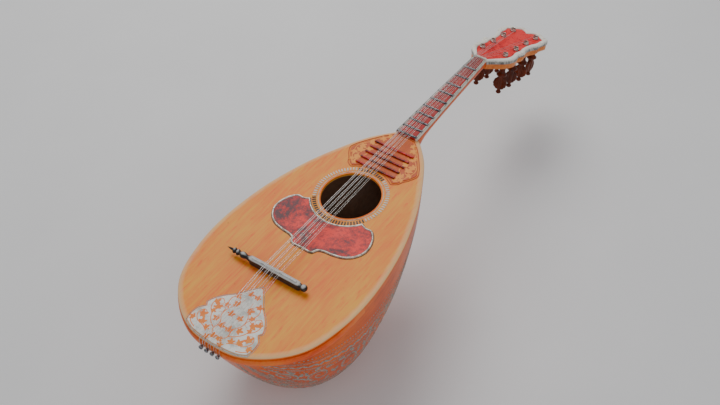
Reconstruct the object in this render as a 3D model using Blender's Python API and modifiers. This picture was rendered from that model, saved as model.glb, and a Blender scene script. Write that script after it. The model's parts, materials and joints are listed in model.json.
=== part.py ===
"""Bowl-back mandolin lying on its back: soundboard level, neck along +Y, bass side at -X.

Every length below is in millimetres of the instrument's own drawing, whose zero is the
middle of the neck joint on the soundboard's top face. LAYOUT moves the drawing into the
scene, in metres, so that the finished instrument stands on Z = 0 with its box centred.
"""

import math

import bmesh
import bpy
import numpy as np
from mathutils import Matrix, Vector

MM = 0.001
GAP = 0.3

# Where the drawing's zero goes in the scene
JOINT_Y = 32.9
DECK_Z = 153.0

# Body
BODY_LENGTH = 325.5
BODY_HALF_WIDTH = 96.0
BODY_EDGE = [(13.5, 0), (26, -12), (38, -26), (58, -60), (74, -95), (89, -145), (96, -202),
             (93, -242), (81.5, -280), (60, -305), (30, -322), (0, -325.5)]
DECK_THICKNESS = 3.0
HOLE_CENTRE = (0.0, -105.2)
HOLE_RADIUS = 31.8

# Bowl: the keel's depth at each distance from the neck joint, and the roundness of a cross-section
KEEL = [(0, 30), (60, 66), (120, 111), (170, 142), (215, 153), (250, 141), (285, 104),
        (310, 53), (323, 0)]
DEEPEST_Y = -215.0
SECTION_POWER = 2.35
RIM_INSET = 2.5
WALL = 2.0
BOWL_RINGS = 9
JOINT_OVERRUN = 4.0

# Tail clasp, a strip round the tail below the soundboard's edge
CLASP_START_Y = -210.0
CLASP_TOP = -4.8
CLASP_BOTTOM = -13.0
CLASP_PROUD = 1.2
CLASP_INSET = 2.0
CLASP_TAPER = 45.0

# Blocks, linings and braces inside the bowl
NECK_BLOCK_LENGTH = 32.0
BLOCK_INSET = 5.6
TAIL_BLOCK = {"half_width": 22.0, "front_y": -303.0, "bottom_z": -32.0}
LINING = {"first_y": -40.0, "last_y": -285.0, "outer": 6.6, "inner": 9.4, "height": 5.0}
BRACES = {"brace_upper": -60.0, "brace_lower": -150.0}
BRACE_WIDTH = 6.0
BRACE_HEIGHT = 8.0
BRACE_INSET = 12.5

# Neck and fingerboard
NUT_Y = 146.0
NECK_HALF_WIDTH = (13.3, 8.0)
NECK_DEPTHS = [(0, 30.0), (6, 23.5), (14, 17.2), (26, 14.2), (45, 12.8), (80, 12.1), (152, 12.0)]
NECK_SIDES = 12
BOARD_START_Y = -4.0
BOARD_TOP = 4.0
BINDING_WIDTH = 1.9
SCALE_LENGTH = 330.0
LAST_FRET = 10
LAST_FRET_Y = -2.5
FRET_SIZE = (1.7, 0.9)
NUT_LENGTH = 2.8
NUT_TOP = 5.6

# Head: its drawing plane starts at the nut and leans back; u runs along it, h stands up from it
HEAD_START = (0.0, 146.5, 2.3)
HEAD_TILT = math.radians(19)
HEAD_FIRST_U = 2.1
NECK_LAST_U = 1.8
HEAD_SIDE = [(8, 2.1), (14, 9.5), (21, 17), (26, 25.5), (27.8, 37), (25.2, 49.3), (26.5, 58),
             (24.2, 68.4), (25.2, 80), (28.5, 89), (27.6, 98.4), (29.8, 110)]
HEAD_END = [(29.8, 110), (28.6, 115.6), (21, 119.5), (15.5, 124), (10.5, 126.6), (0, 118.9)]
PANEL_SIDE = [(6.2, 4.5), (13, 15), (20.5, 28), (21.5, 38), (19.6, 49.3), (20.8, 58),
              (19.4, 68), (20.2, 82), (23.6, 92), (23.6, 102), (24.6, 110)]
PANEL_END = [(24.6, 110), (18.5, 114), (10.2, 120.6), (0, 113.5)]
BORDER_LEVELS = (-6.0, 0.0)
PANEL_LEVELS = (-6.0, -1.6)
CORE_LEVELS = (-12.3, -6.3)
CORE_INSET = 0.8

# Tuning pegs: where each stands on the head and how far its grip is turned
PEG_X = 15.6
PEG_U = (32.0, 57.5, 82.7, 107.0)
PEG_TURNS = (25, 60, -10, 80, 20, 48, 5, 85)
PEG_PROFILE = [(0, 2.6), (2.6, 2.6), (3.1, 2.2), (3.1, -6), (3.9, -12.5), (3.5, -20), (4.2, -22.6),
               (6.3, -24.2), (6.3, -26.2), (4.2, -27.8), (3.2, -32), (2.4, -44.5), (1.8, -45.8),
               (3.2, -47), (3.1, -48.6), (1.1, -50), (0, -50.2)]
PEG_SIDES = 12
PEG_HOLE = {"panel": 3.6, "core": 4.5}
GRIP_RADIUS = 8.4
GRIP_THICKNESS = 5.0
GRIP_H = -36.8

# Strings, bass to treble, in four pairs
STRING_RADII = (0.45, 0.4, 0.3, 0.25)
PAIR_AT_BRIDGE = (6.13, 2.0)
PAIR_AT_NUT = (3.4, 1.5)
STRING_AT_BRIDGE_Z = 11.8
STRING_AT_NUT_Z = 6.4
PEG_OF_STRING = (1, 2, 3, 4, 8, 7, 6, 5)

# Bridge, free to slide along the soundboard under the strings
BRIDGE_Y = -230.0
BRIDGE_BAR = (-30.5, 32.5)
BRIDGE_DEPTH = 6.4
BRIDGE_TOP = 10.0
BRIDGE_AXIS_Z = 6.4
BRIDGE_TIP = [(0, -60.5), (1.3, -54.5), (1.5, -52.3), (3.1, -51), (2.0, -48.6), (3.3, -46.2),
              (1.9, -44), (3.4, -39.8), (2.3, -34.5), (2.8, -31.5), (2.8, -27), (0, -27)]
BRIDGE_BALL = [(0, 29), (2.8, 29), (2.8, 33), (2.2, 34.4), (3.4, 36), (3.6, 38), (2.6, 40.2), (0, 41.2)]
SADDLE_SPAN = (-27.0, 29.0)
SADDLE_SIZE = (2.2, 0.8)

# Hitch pins in the tail end
PIN_X = (-10.5, -3.5, 3.5, 10.5)
PIN_Z = -8.9
PIN_PROFILE = [(0, -332), (1.5, -332), (2.3, -331.2), (2.3, -329.6), (1.3, -328.8), (1.3, -311), (0, -310)]
PIN_HOLE = 1.7
STRING_BESIDE_PIN = 2.1

# Thin pieces laid on the soundboard
PLATE_TOP = 0.9
ROSETTE_RADII = (33.4, 40.6)
GUARD_TOP_RADIUS = 41.9
GUARD_HORN = (33.4, -130.0)
GUARD_SIDE = [GUARD_HORN, (39.5, -133), (47.5, -133.2), (54, -139.3), (58.6, -149.8), (58.9, -160.4),
              (53.6, -170.3), (45.5, -176.6), (34, -179.9), (23.4, -181)]
GUARD_FOOT = [(23.4, -181), (17, -183), (13, -188.6), (0, -189.1)]
GUARD_EDGE_WIDTH = 2.2
GUARD_EDGE_TOP = 1.9
GUARD_TOP = 1.1
TAIL_LEAF = [(0, -246), (9.5, -256.5), (18, -267), (25.5, -273.5), (32, -281), (36, -290), (34, -293.5)]
TAIL_LOBE = [(34, -293.5), (39, -299.5), (40.5, -309), (38.5, -316.4)]
TAIL_FOOT = [(38.5, -316.4), (28, -320.6), (0, -323.2)]
NECK_LEAF = [(0, -4.6), (12, -5.2), (22, -14), (34, -28.5), (41, -38.5)]
NECK_LOBES = [(41, -38.5), (44.4, -47), (40.5, -56), (36, -61.5), (33, -67), (26, -71.6)]
NECK_LEAF_RADIUS = 42.4
BAR_Y = (-27.2, -36.0, -44.6, -53.4, -62.2)
BAR_SIZE = (50.0, 2.2, 1.4)
BAR_LOW = 1.2

# Colour, roughness and metallic value of each finish
FINISHES = {
    "spruce": ((0.83, 0.52, 0.22), 0.4, 0.0),
    "bowl_wood": ((0.62, 0.24, 0.06), 0.35, 0.0),
    "neck_wood": ((0.6, 0.2, 0.05), 0.4, 0.0),
    "head_wood": ((0.75, 0.36, 0.14), 0.45, 0.0),
    "inside_wood": ((0.42, 0.25, 0.12), 0.7, 0.0),
    "red_board": ((0.42, 0.05, 0.04), 0.35, 0.0),
    "ivory": ((0.82, 0.79, 0.7), 0.35, 0.0),
    "shell_red": ((0.38, 0.03, 0.03), 0.25, 0.0),
    "pearl": ((0.8, 0.8, 0.76), 0.3, 0.0),
    "terracotta": ((0.5, 0.17, 0.06), 0.4, 0.0),
    "dark_wood": ((0.1, 0.05, 0.035), 0.45, 0.0),
    "bone": ((0.7, 0.7, 0.68), 0.4, 0.0),
    "silver": ((0.75, 0.75, 0.74), 0.3, 1.0),
    "dark_metal": ((0.15, 0.15, 0.15), 0.4, 1.0),
}

LAYOUT = Matrix.Translation((0.0, JOINT_Y * MM, DECK_Z * MM))
HEAD = (LAYOUT @ Matrix.Translation([value * MM for value in HEAD_START])
        @ Matrix.Rotation(-HEAD_TILT, 4, "X"))


# ---------------------------------------------------------------- curves and outlines

def curve_through(points, steps):
    """Smooth curve through all the points, with each span cut into the given number of steps.

    Each span is a cubic. Its tangent at a point weighs the two chords that meet there by
    the square root of their lengths, which keeps tight spans from bulging.
    """
    pts = np.array(points, dtype=float)
    knots = np.concatenate([[0.0], np.cumsum(np.sqrt(np.linalg.norm(np.diff(pts, axis=0), axis=1)))])
    chords = np.diff(pts, axis=0) / np.diff(knots)[:, None]
    tangents = np.vstack([chords[:1], chords[-1:]]) if len(pts) == 2 else None
    if tangents is None:
        before = np.diff(knots)[:-1, None]
        after = np.diff(knots)[1:, None]
        inner = (chords[:-1] * after + chords[1:] * before) / (before + after)
        tangents = np.vstack([chords[:1], inner, chords[-1:]])
    rows = []
    for index, span in enumerate(np.diff(knots)):
        t = np.linspace(0.0, 1.0, steps, endpoint=False)[:, None]
        rows.append((2 * t**3 - 3 * t**2 + 1) * pts[index]
                    + (t**3 - 2 * t**2 + t) * span * tangents[index]
                    + (3 * t**2 - 2 * t**3) * pts[index + 1]
                    + (t**3 - t**2) * span * tangents[index + 1])
    return np.vstack(rows + [pts[-1:]])


def joined(*runs):
    """One open line from runs that each start where the last one ended."""
    return np.vstack([runs[0]] + [run[1:] for run in runs[1:]])


def mirrored(half):
    """Closed loop from a half that runs from one point of the middle line to another, at +X."""
    left = half[::-1] * (-1, 1)
    left = left[1:] if abs(left[0][0]) < 1e-6 else left
    left = left[:-1] if abs(left[-1][0]) < 1e-6 else left
    return np.vstack([half, left])


def through_middle(half, steps):
    """Half line whose last point lies on the middle line, so that it crosses it squarely."""
    whole = list(half) + [(-x, y) for x, y in half[-2::-1]]
    return curve_through(whole, steps)[:steps * (len(half) - 1) + 1]


def moved_in(loop, distance):
    """Closed loop moved inwards by the distance, along the mean normal at each point."""
    ahead = np.roll(loop, -1, axis=0) - loop
    ahead /= np.linalg.norm(ahead, axis=1)[:, None]
    normals = np.stack([ahead[:, 1], -ahead[:, 0]], axis=1)
    area = np.sum(loop[:, 0] * np.roll(loop[:, 1], -1) - np.roll(loop[:, 0], -1) * loop[:, 1])
    mean = normals + np.roll(normals, 1, axis=0)
    mean /= np.linalg.norm(mean, axis=1)[:, None]
    stretch = 1.0 / np.maximum(np.sum(mean * normals, axis=1), 0.7)
    return loop - np.sign(area) * mean * stretch[:, None] * distance


def circle(centre, radius, sides):
    """Closed regular polygon whose corners lie on the circle."""
    turn = np.linspace(0.0, 2 * math.pi, sides, endpoint=False)
    return np.stack([centre[0] + radius * np.cos(turn), centre[1] + radius * np.sin(turn)], axis=1)


def arc_to_middle(start, centre, radius, steps):
    """Line on a circle from the point nearest start to the middle line."""
    first = math.atan2(start[1] - centre[1], start[0] - centre[0])
    last = math.copysign(math.pi / 2, first)
    turn = np.linspace(first, last, steps + 1)
    return np.stack([centre[0] + radius * np.cos(turn), centre[1] + radius * np.sin(turn)], axis=1)


BODY_SIDE = through_middle(BODY_EDGE, 6)
KEEL_LINE = curve_through(KEEL, 8)


def half_width(y):
    """Half the body's width at a place along it."""
    return np.interp(-y, -BODY_SIDE[:, 1], BODY_SIDE[:, 0])


def bowl_half_width(y):
    """Half the bowl's width at its rim, a little inside the soundboard's edge."""
    return half_width(y / (1 - RIM_INSET / BODY_LENGTH)) * (1 - RIM_INSET / BODY_HALF_WIDTH)


def bowl_height(x, y):
    """Height of the bowl's outer face: a super-ellipse from rim to rim, as deep as the keel."""
    across = np.clip(np.abs(x) / np.maximum(bowl_half_width(y), 1e-6), 0.0, 1.0)
    depth = np.interp(-y, KEEL_LINE[:, 0], KEEL_LINE[:, 1])
    return -depth * (1 - across**SECTION_POWER) ** (1 / SECTION_POWER)


# ---------------------------------------------------------------- Blender objects

def collection(name):
    """Collection of this name in the scene."""
    found = bpy.data.collections.get(name)
    if found is None:
        found = bpy.data.collections.new(name)
        bpy.context.scene.collection.children.link(found)
    return found


def new_object(name, data, finish=None, matrix=LAYOUT):
    """Object in the mandolin's collection, or in the cutters' when it has no finish."""
    item = bpy.data.objects.new(name, data)
    item.matrix_world = matrix
    if finish is None:
        collection("cutters").objects.link(item)
        item.hide_render = True
        item.display_type = "WIRE"
        return item
    collection("mandolin").objects.link(item)
    material = bpy.data.materials.new(name)
    material.use_nodes = True
    colour, roughness, metallic = FINISHES[finish]
    shader = material.node_tree.nodes["Principled BSDF"]
    shader.inputs["Base Color"].default_value = (*colour, 1.0)
    shader.inputs["Roughness"].default_value = roughness
    shader.inputs["Metallic"].default_value = metallic
    data.materials.clear()
    data.materials.append(material)
    return item


def to_mesh(item):
    """Plain mesh of an object as its modifiers leave it, with its loose caps welded."""
    bpy.context.view_layer.update()
    ready = item.evaluated_get(bpy.context.evaluated_depsgraph_get())
    mesh = bpy.data.meshes.new_from_object(ready)
    work = bmesh.new()
    work.from_mesh(mesh)
    bmesh.ops.remove_doubles(work, verts=work.verts, dist=1e-6)
    bmesh.ops.recalc_face_normals(work, faces=work.faces)
    work.to_mesh(mesh)
    work.free()
    return mesh


def plate(name, loops, low, high, finish, matrix=LAYOUT):
    """Flat piece of one outline with holes, between two heights of its plane."""
    outline = bpy.data.curves.new(name, "CURVE")
    outline.dimensions = "2D"
    outline.fill_mode = "BOTH"
    outline.extrude = (high - low) / 2 * MM
    for loop in loops:
        spline = outline.splines.new("POLY")
        spline.points.add(len(loop) - 1)
        spline.use_cyclic_u = True
        for point, (x, y) in zip(spline.points, loop):
            point.co = (x * MM, y * MM, 0.0, 1.0)
    middle = Matrix.Translation((0.0, 0.0, (low + high) / 2 * MM))
    return new_object(name, outline, finish, matrix @ middle)


def tube(name, points, radius, finish):
    """Round wire along straight runs between the points."""
    wire = bpy.data.curves.new(name, "CURVE")
    wire.dimensions = "3D"
    wire.bevel_depth = radius * MM
    wire.bevel_resolution = 2
    wire.use_fill_caps = True
    spline = wire.splines.new("POLY")
    spline.points.add(len(points) - 1)
    for point, place in zip(spline.points, points):
        point.co = (*(value * MM for value in place), 1.0)
    return new_object(name, wire, finish)


def turned(name, profile, sides, axis, finish=None, matrix=LAYOUT):
    """Turned piece: the profile of (radius, place on the axis) swept round that axis."""
    mesh = bpy.data.meshes.new(name)
    work = bmesh.new()
    corners = []
    for radius, place in profile:
        spot = (radius, 0.0, place) if axis == "Z" else (place, radius, 0.0)
        corners.append(work.verts.new(Vector(spot) * MM))
    for first, second in zip(corners, corners[1:]):
        work.edges.new((first, second))
    work.to_mesh(mesh)
    work.free()
    item = new_object(name, mesh, finish, matrix)
    screw = item.modifiers.new("Turn", "SCREW")
    screw.axis = axis
    screw.steps = sides
    screw.render_steps = sides
    screw.use_merge_vertices = True
    screw.merge_threshold = 0.00001
    return item


def box(name, low, high, finish=None, matrix=LAYOUT, edge=0.0):
    """Box between two corners, with its edges rounded by the given radius."""
    mesh = bpy.data.meshes.new(name)
    work = bmesh.new()
    bmesh.ops.create_cube(work, size=1.0)
    low = np.array(low, dtype=float) * MM
    high = np.array(high, dtype=float) * MM
    for corner in work.verts:
        corner.co = Vector((low + high) / 2 + np.array(corner.co) * (high - low))
    work.to_mesh(mesh)
    work.free()
    item = new_object(name, mesh, finish, matrix)
    if edge:
        bevel = item.modifiers.new("Rounded edges", "BEVEL")
        bevel.width = edge * MM
        bevel.segments = 1
    return item


def skinned(name, rings, poles=(None, None), capped=False):
    """Mesh over rings of points, closed to a pole or with a flat cap at its ends."""
    mesh = bpy.data.meshes.new(name)
    work = bmesh.new()
    rows = [[work.verts.new(Vector(point) * MM) for point in ring] for ring in rings]
    for row, following in zip(rows, rows[1:]):
        for index in range(len(row)):
            after = (index + 1) % len(row)
            work.faces.new((row[index], row[after], following[after], following[index]))
    for pole, row in zip(poles, (rows[0], rows[-1])):
        if pole is not None:
            tip = work.verts.new(Vector(pole) * MM)
            for index in range(len(row)):
                work.faces.new((row[index], row[(index + 1) % len(row)], tip))
    if capped:
        work.faces.new(rows[0])
        work.faces.new(rows[-1])
    bmesh.ops.recalc_face_normals(work, faces=work.faces)
    work.to_mesh(mesh)
    work.free()
    return mesh


def cut(item, cutter, operation="DIFFERENCE"):
    """Boolean of an object with a cutter, kept as a modifier."""
    step = item.modifiers.new(cutter.name, "BOOLEAN")
    step.operation = operation
    step.object = cutter
    step.solver = "EXACT"


# ---------------------------------------------------------------- body

def body_loop():
    """Outline of the soundboard, from the neck joint round the tail."""
    return mirrored(BODY_SIDE)


def bowl_rings():
    """Rings of the bowl's outer face, from its deepest point out to the rim.

    A ring joins the points that lie at one share of the way from the deepest point to the
    outline. The outline runs past the neck joint, where the bowl is later cut off square.
    """
    side = through_middle(BODY_EDGE, 2)
    side = side * (1 - RIM_INSET / BODY_HALF_WIDTH, 1 - RIM_INSET / BODY_LENGTH)
    mouth = [(share * side[0][0], JOINT_OVERRUN) for share in (0.0, 0.35, 0.7, 1.0)]
    outline = mirrored(joined(np.array(mouth + [side[0]]), side))
    shares = np.sin(np.linspace(0.0, math.pi / 2, BOWL_RINGS + 1)[1:]) ** (2 / SECTION_POWER)
    rings = []
    for share in shares:
        x = outline[:, 0] * share
        y = DEEPEST_Y + (outline[:, 1] - DEEPEST_Y) * share
        rings.append(np.stack([x, y, bowl_height(x, y)], axis=1))
    return rings


def make_bowl(pin_holes):
    """Bowl: a thin curved shell, trimmed flat under the soundboard and square at the neck."""
    pole = (0.0, DEEPEST_Y, float(bowl_height(0.0, DEEPEST_Y)))
    bowl = new_object("bowl_back", skinned("bowl_back", bowl_rings(), (pole, None)), "bowl_wood")
    shell = bowl.modifiers.new("Wall", "SOLIDIFY")
    shell.thickness = WALL * MM
    shell.offset = -1.0
    for hole in pin_holes:
        cut(bowl, hole)
    top = -DECK_THICKNESS - GAP
    cut(bowl, box("cut_rim", (-120, -350, top), (120, 40, 20)))
    cut(bowl, box("cut_mouth", (-60, -GAP, -80), (60, 40, 30)))


def make_bowl_core():
    """Solid that fills the bowl with a small clearance to its wall, for shaping the blocks."""
    rings = bowl_rings()
    lid = rings[-1].copy()
    lid[:, 2] = 6.0
    pole = (0.0, DEEPEST_Y, float(bowl_height(0.0, DEEPEST_Y)))
    mesh = skinned("bowl_core", rings + [lid], (pole, (0.0, DEEPEST_Y, 6.0)))
    work = bmesh.new()
    work.from_mesh(mesh)
    work.normal_update()
    for corner in work.verts:
        corner.co -= corner.normal * (WALL + 2 * GAP) * MM
    work.to_mesh(mesh)
    work.free()
    return new_object("bowl_core", mesh)


def neck_block_mesh(top):
    """Neck block: super-elliptic sections a little smaller than the bowl's, flat on top."""
    turn = np.linspace(0.0, math.pi, NECK_SIDES + 1)
    rings = []
    for y in np.linspace(-3 * GAP, -NECK_BLOCK_LENGTH, 6):
        wide = float(bowl_half_width(y)) - BLOCK_INSET
        depth = -float(bowl_height(0.0, y)) - BLOCK_INSET
        across = np.sign(np.cos(turn)) * np.abs(np.cos(turn)) ** (2 / SECTION_POWER) * wide
        down = top - np.sin(turn) ** (2 / SECTION_POWER) * (depth + top)
        rings.append(np.stack([across, np.full(len(turn), y), down], axis=1))
    return skinned("neck_block", rings, capped=True)


def make_inside(pin_holes):
    """Neck block, tail block, linings and braces."""
    under = -DECK_THICKNESS - GAP
    core = make_bowl_core()
    new_object("neck_block", neck_block_mesh(under), "inside_wood")
    half = TAIL_BLOCK["half_width"]
    tail_block = box("tail_block", (-half, -BODY_LENGTH, TAIL_BLOCK["bottom_z"]),
                     (half, TAIL_BLOCK["front_y"], under), "inside_wood")
    cut(tail_block, core, "INTERSECT")
    for hole in pin_holes:
        cut(tail_block, hole)
    for name, y in BRACES.items():
        reach = float(half_width(y)) - BRACE_INSET
        box(name, (-reach, y - BRACE_WIDTH / 2, under - BRACE_HEIGHT), (reach, y + BRACE_WIDTH / 2, under),
            "inside_wood", edge=1.0)
    outer = moved_in(body_loop(), LINING["outer"])
    inner = moved_in(body_loop(), LINING["inner"])
    keep = (outer[:, 0] > 0) & (outer[:, 1] < LINING["first_y"]) & (outer[:, 1] > LINING["last_y"])
    band = np.vstack([outer[keep], inner[keep][::-1]])
    for name, side in (("lining_treble", 1), ("lining_bass", -1)):
        plate(name, [band * (side, 1)], under - LINING["height"], under, "inside_wood")


def make_clasp(pin_holes):
    """Clasp: a strip that covers the rib ends at the tail and thins out along both sides."""
    loop = body_loop()
    chosen = loop[:, 1] < CLASP_START_Y
    run = np.clip((CLASP_START_Y - loop[:, 1]) / CLASP_TAPER, 0.0, 1.0)
    proud = CLASP_PROUD * run - (CLASP_INSET - 0.8) * (1 - run)
    inner = moved_in(loop, CLASP_INSET)
    outer = np.array([moved_in(loop, -reach)[index] for index, reach in enumerate(proud)])
    band = np.vstack([outer[chosen], inner[chosen][::-1]])
    flat = plate("clasp_blank", [band], CLASP_BOTTOM, CLASP_TOP, None)
    clasp = new_object("tail_clasp", to_mesh(flat), "bowl_wood", flat.matrix_world.copy())
    bpy.data.objects.remove(flat)
    for hole in pin_holes:
        cut(clasp, hole)


def make_body():
    """Soundboard, bowl, clasp, inner pieces and the four hitch pins."""
    hole = circle(HOLE_CENTRE, HOLE_RADIUS, 40)
    plate("soundboard", [body_loop(), hole], -DECK_THICKNESS, 0.0, "spruce")
    pin_holes = []
    for number, x in enumerate(PIN_X, 1):
        place = (LAYOUT @ Matrix.Translation((x * MM, 0.0, PIN_Z * MM))
                 @ Matrix.Rotation(math.radians(-90), 4, "X"))
        profile = [(PIN_HOLE, -340), (PIN_HOLE, -308)]
        profile = [(0, -308)] + profile[::-1] + [(0, -340)]
        pin_holes.append(turned(f"pin_hole_{number}", profile, 12, "Z", matrix=place))
        turned(f"hitch_pin_{number}", PIN_PROFILE[::-1], 12, "Z", "dark_metal", place)
    make_bowl(pin_holes)
    make_clasp(pin_holes)
    make_inside(pin_holes)


def make_overlays():
    """Rosette, pickguard with its edge, the two ornament plates and the five bars."""
    plate("rosette", [circle(HOLE_CENTRE, ROSETTE_RADII[1], 48), circle(HOLE_CENTRE, ROSETTE_RADII[0], 48)],
          GAP, PLATE_TOP - 0.1, "ivory")
    top = arc_to_middle(GUARD_HORN, HOLE_CENTRE, GUARD_TOP_RADIUS, 6)
    side = curve_through(GUARD_SIDE, 2)
    foot = curve_through(GUARD_FOOT, 2)
    guard = mirrored(joined(top[::-1], side, foot))
    edge = GUARD_EDGE_WIDTH
    plate("pickguard_edge", [guard, moved_in(guard, edge)], GAP, GUARD_EDGE_TOP, "silver")
    plate("pickguard", [moved_in(guard, edge + GAP)], GAP, GUARD_TOP, "shell_red")
    leaf = joined(curve_through(TAIL_LEAF, 3), curve_through(TAIL_LOBE, 3), curve_through(TAIL_FOOT, 3))
    plate("tail_ornament", [mirrored(leaf)], GAP, PLATE_TOP, "pearl")
    arc = arc_to_middle(NECK_LOBES[-1], HOLE_CENTRE, NECK_LEAF_RADIUS, 6)
    leaf = joined(np.array(NECK_LEAF), curve_through(NECK_LOBES, 3)[:-1], arc)
    plate("neck_ornament", [mirrored(leaf)], GAP, PLATE_TOP, "terracotta")
    length, width, height = BAR_SIZE
    for number, y in enumerate(BAR_Y, 1):
        box(f"deck_bar_{number}", (-length / 2, y - width / 2, BAR_LOW),
            (length / 2, y + width / 2, BAR_LOW + height), "red_board", edge=0.4)


# ---------------------------------------------------------------- neck and head

def neck_half_width(y):
    """Half the neck's width, which narrows in a straight line from the joint to the nut."""
    return NECK_HALF_WIDTH[0] + (NECK_HALF_WIDTH[1] - NECK_HALF_WIDTH[0]) * y / NUT_Y


def make_neck():
    """Neck: half-elliptic sections that deepen into the heel, cut square to the head."""
    line = curve_through(NECK_DEPTHS, 2)
    turn = np.linspace(0.0, math.pi, NECK_SIDES + 1)
    rings = []
    for y, depth in line:
        wide = neck_half_width(y)
        rings.append([(wide * math.cos(a), max(y, GAP), -depth * math.sin(a)) for a in turn])
    mesh = skinned("neck", rings, capped=True)
    work = bmesh.new()
    work.from_mesh(mesh)
    point = Vector(HEAD_START) * MM + Vector((0, math.cos(HEAD_TILT), -math.sin(HEAD_TILT))) * NECK_LAST_U * MM
    across = Vector((0, math.cos(HEAD_TILT), -math.sin(HEAD_TILT)))
    geometry = work.verts[:] + work.edges[:] + work.faces[:]
    bmesh.ops.bisect_plane(work, geom=geometry, plane_co=point, plane_no=across, clear_outer=True)
    bmesh.ops.holes_fill(work, edges=work.edges)
    bmesh.ops.recalc_face_normals(work, faces=work.faces)
    work.to_mesh(mesh)
    work.free()
    new_object("neck", mesh, "neck_wood")


def make_fingerboard():
    """Fingerboard between its two bindings, the frets and the nut."""
    end = NUT_Y - NUT_LENGTH / 2 - GAP
    stations = (BOARD_START_Y, end)
    inner = [neck_half_width(y) - BINDING_WIDTH - GAP for y in stations]
    board = [(-inner[0], stations[0]), (inner[0], stations[0]), (inner[1], end), (-inner[1], end)]
    plate("fingerboard", [board], GAP, BOARD_TOP, "red_board")
    for name, side in (("binding_bass", -1), ("binding_treble", 1)):
        strip = [(side * (x + reach), y) for reach, order in ((GAP, 1), (GAP + BINDING_WIDTH, -1))
                 for x, y in list(zip(inner, stations))[::order]]
        plate(name, [strip], GAP, BOARD_TOP, "ivory")
    width, height = FRET_SIZE
    for number in range(1, LAST_FRET + 1):
        from_nut = SCALE_LENGTH * (1 - 2 ** (-number / 12))
        last_from_nut = SCALE_LENGTH * (1 - 2 ** (-LAST_FRET / 12))
        y = LAST_FRET_Y + last_from_nut - from_nut
        reach = neck_half_width(y) - 0.2
        box(f"fret_{number:02d}", (-reach, y - width / 2, BOARD_TOP + GAP),
            (reach, y + width / 2, BOARD_TOP + GAP + height), "silver", edge=0.4)
    half = neck_half_width(NUT_Y)
    box("nut", (-half, NUT_Y - NUT_LENGTH / 2, GAP), (half, NUT_Y + NUT_LENGTH / 2, NUT_TOP), "ivory", edge=0.5)


def make_head():
    """Head: a wooden core, the raised border on it and the red panel let into the border."""
    outline = mirrored(joined(curve_through(HEAD_SIDE, 2), curve_through(HEAD_END, 2)))
    panel = mirrored(joined(curve_through(PANEL_SIDE, 2), curve_through(PANEL_END, 2)))
    centres = [(side * PEG_X, u) for side in (-1, 1) for u in PEG_U]
    core_outline = moved_in(outline, CORE_INSET)
    core_outline[:, 1] = np.maximum(core_outline[:, 1], HEAD_FIRST_U)
    plate("head_core", [core_outline] + [circle(spot, PEG_HOLE["core"], 16) for spot in centres],
          *CORE_LEVELS, "head_wood", HEAD)
    plate("head_border", [outline, panel], *BORDER_LEVELS, "ivory", HEAD)
    plate("head_panel", [moved_in(panel, GAP)] + [circle(spot, PEG_HOLE["panel"], 16) for spot in centres],
          *PANEL_LEVELS, "red_board", HEAD)


def make_pegs():
    """Eight friction pegs with round collars and flat grips, in two rows, each on its own axis."""
    blank = turned("peg_blank", PEG_PROFILE, PEG_SIDES, "Z")
    mesh = bpy.data.meshes.new("peg_grip")
    work = bmesh.new()
    flat = Matrix.Translation((0, 0, GRIP_H * MM)) @ Matrix.Rotation(math.radians(90), 4, "X")
    bmesh.ops.create_cone(work, cap_ends=True, segments=16, radius1=GRIP_RADIUS * MM,
                          radius2=GRIP_RADIUS * MM, depth=GRIP_THICKNESS * MM, matrix=flat)
    work.to_mesh(mesh)
    work.free()
    grip = new_object("peg_grip", mesh)
    cut(blank, grip, "UNION")
    shape = to_mesh(blank)
    spots = [(side * PEG_X, u) for side in (-1, 1) for u in PEG_U]
    for number, ((x, u), turn) in enumerate(zip(spots, PEG_TURNS), 1):
        place = HEAD @ Matrix.Translation((x * MM, u * MM, 0)) @ Matrix.Rotation(math.radians(turn), 4, "Z")
        new_object(f"peg_{number}", shape.copy(), "dark_wood", place)
    bpy.data.objects.remove(blank)
    bpy.data.objects.remove(grip)


# ---------------------------------------------------------------- bridge and strings

def make_bridge():
    """Bridge: a bar with a turned tip and a turned ball, and its saddle. Both slide along Y."""
    low, high = BRIDGE_BAR
    foot = LAYOUT @ Matrix.Translation((0, BRIDGE_Y * MM, 0))
    bar = box("bridge", (low, -BRIDGE_DEPTH / 2, GAP), (high, BRIDGE_DEPTH / 2, BRIDGE_TOP), "dark_wood",
              foot, edge=1.2)
    axis = foot @ Matrix.Translation((0, 0, BRIDGE_AXIS_Z * MM))
    for name, profile in (("bridge_tip", BRIDGE_TIP), ("bridge_ball", BRIDGE_BALL)):
        cut(bar, turned(name, profile[::-1], 12, "X", matrix=axis), "UNION")
    width, height = SADDLE_SIZE
    box("bridge_saddle", (SADDLE_SPAN[0], -width / 2, BRIDGE_TOP + GAP),
        (SADDLE_SPAN[1], width / 2, BRIDGE_TOP + GAP + height), "bone", foot, edge=0.3)


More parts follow.
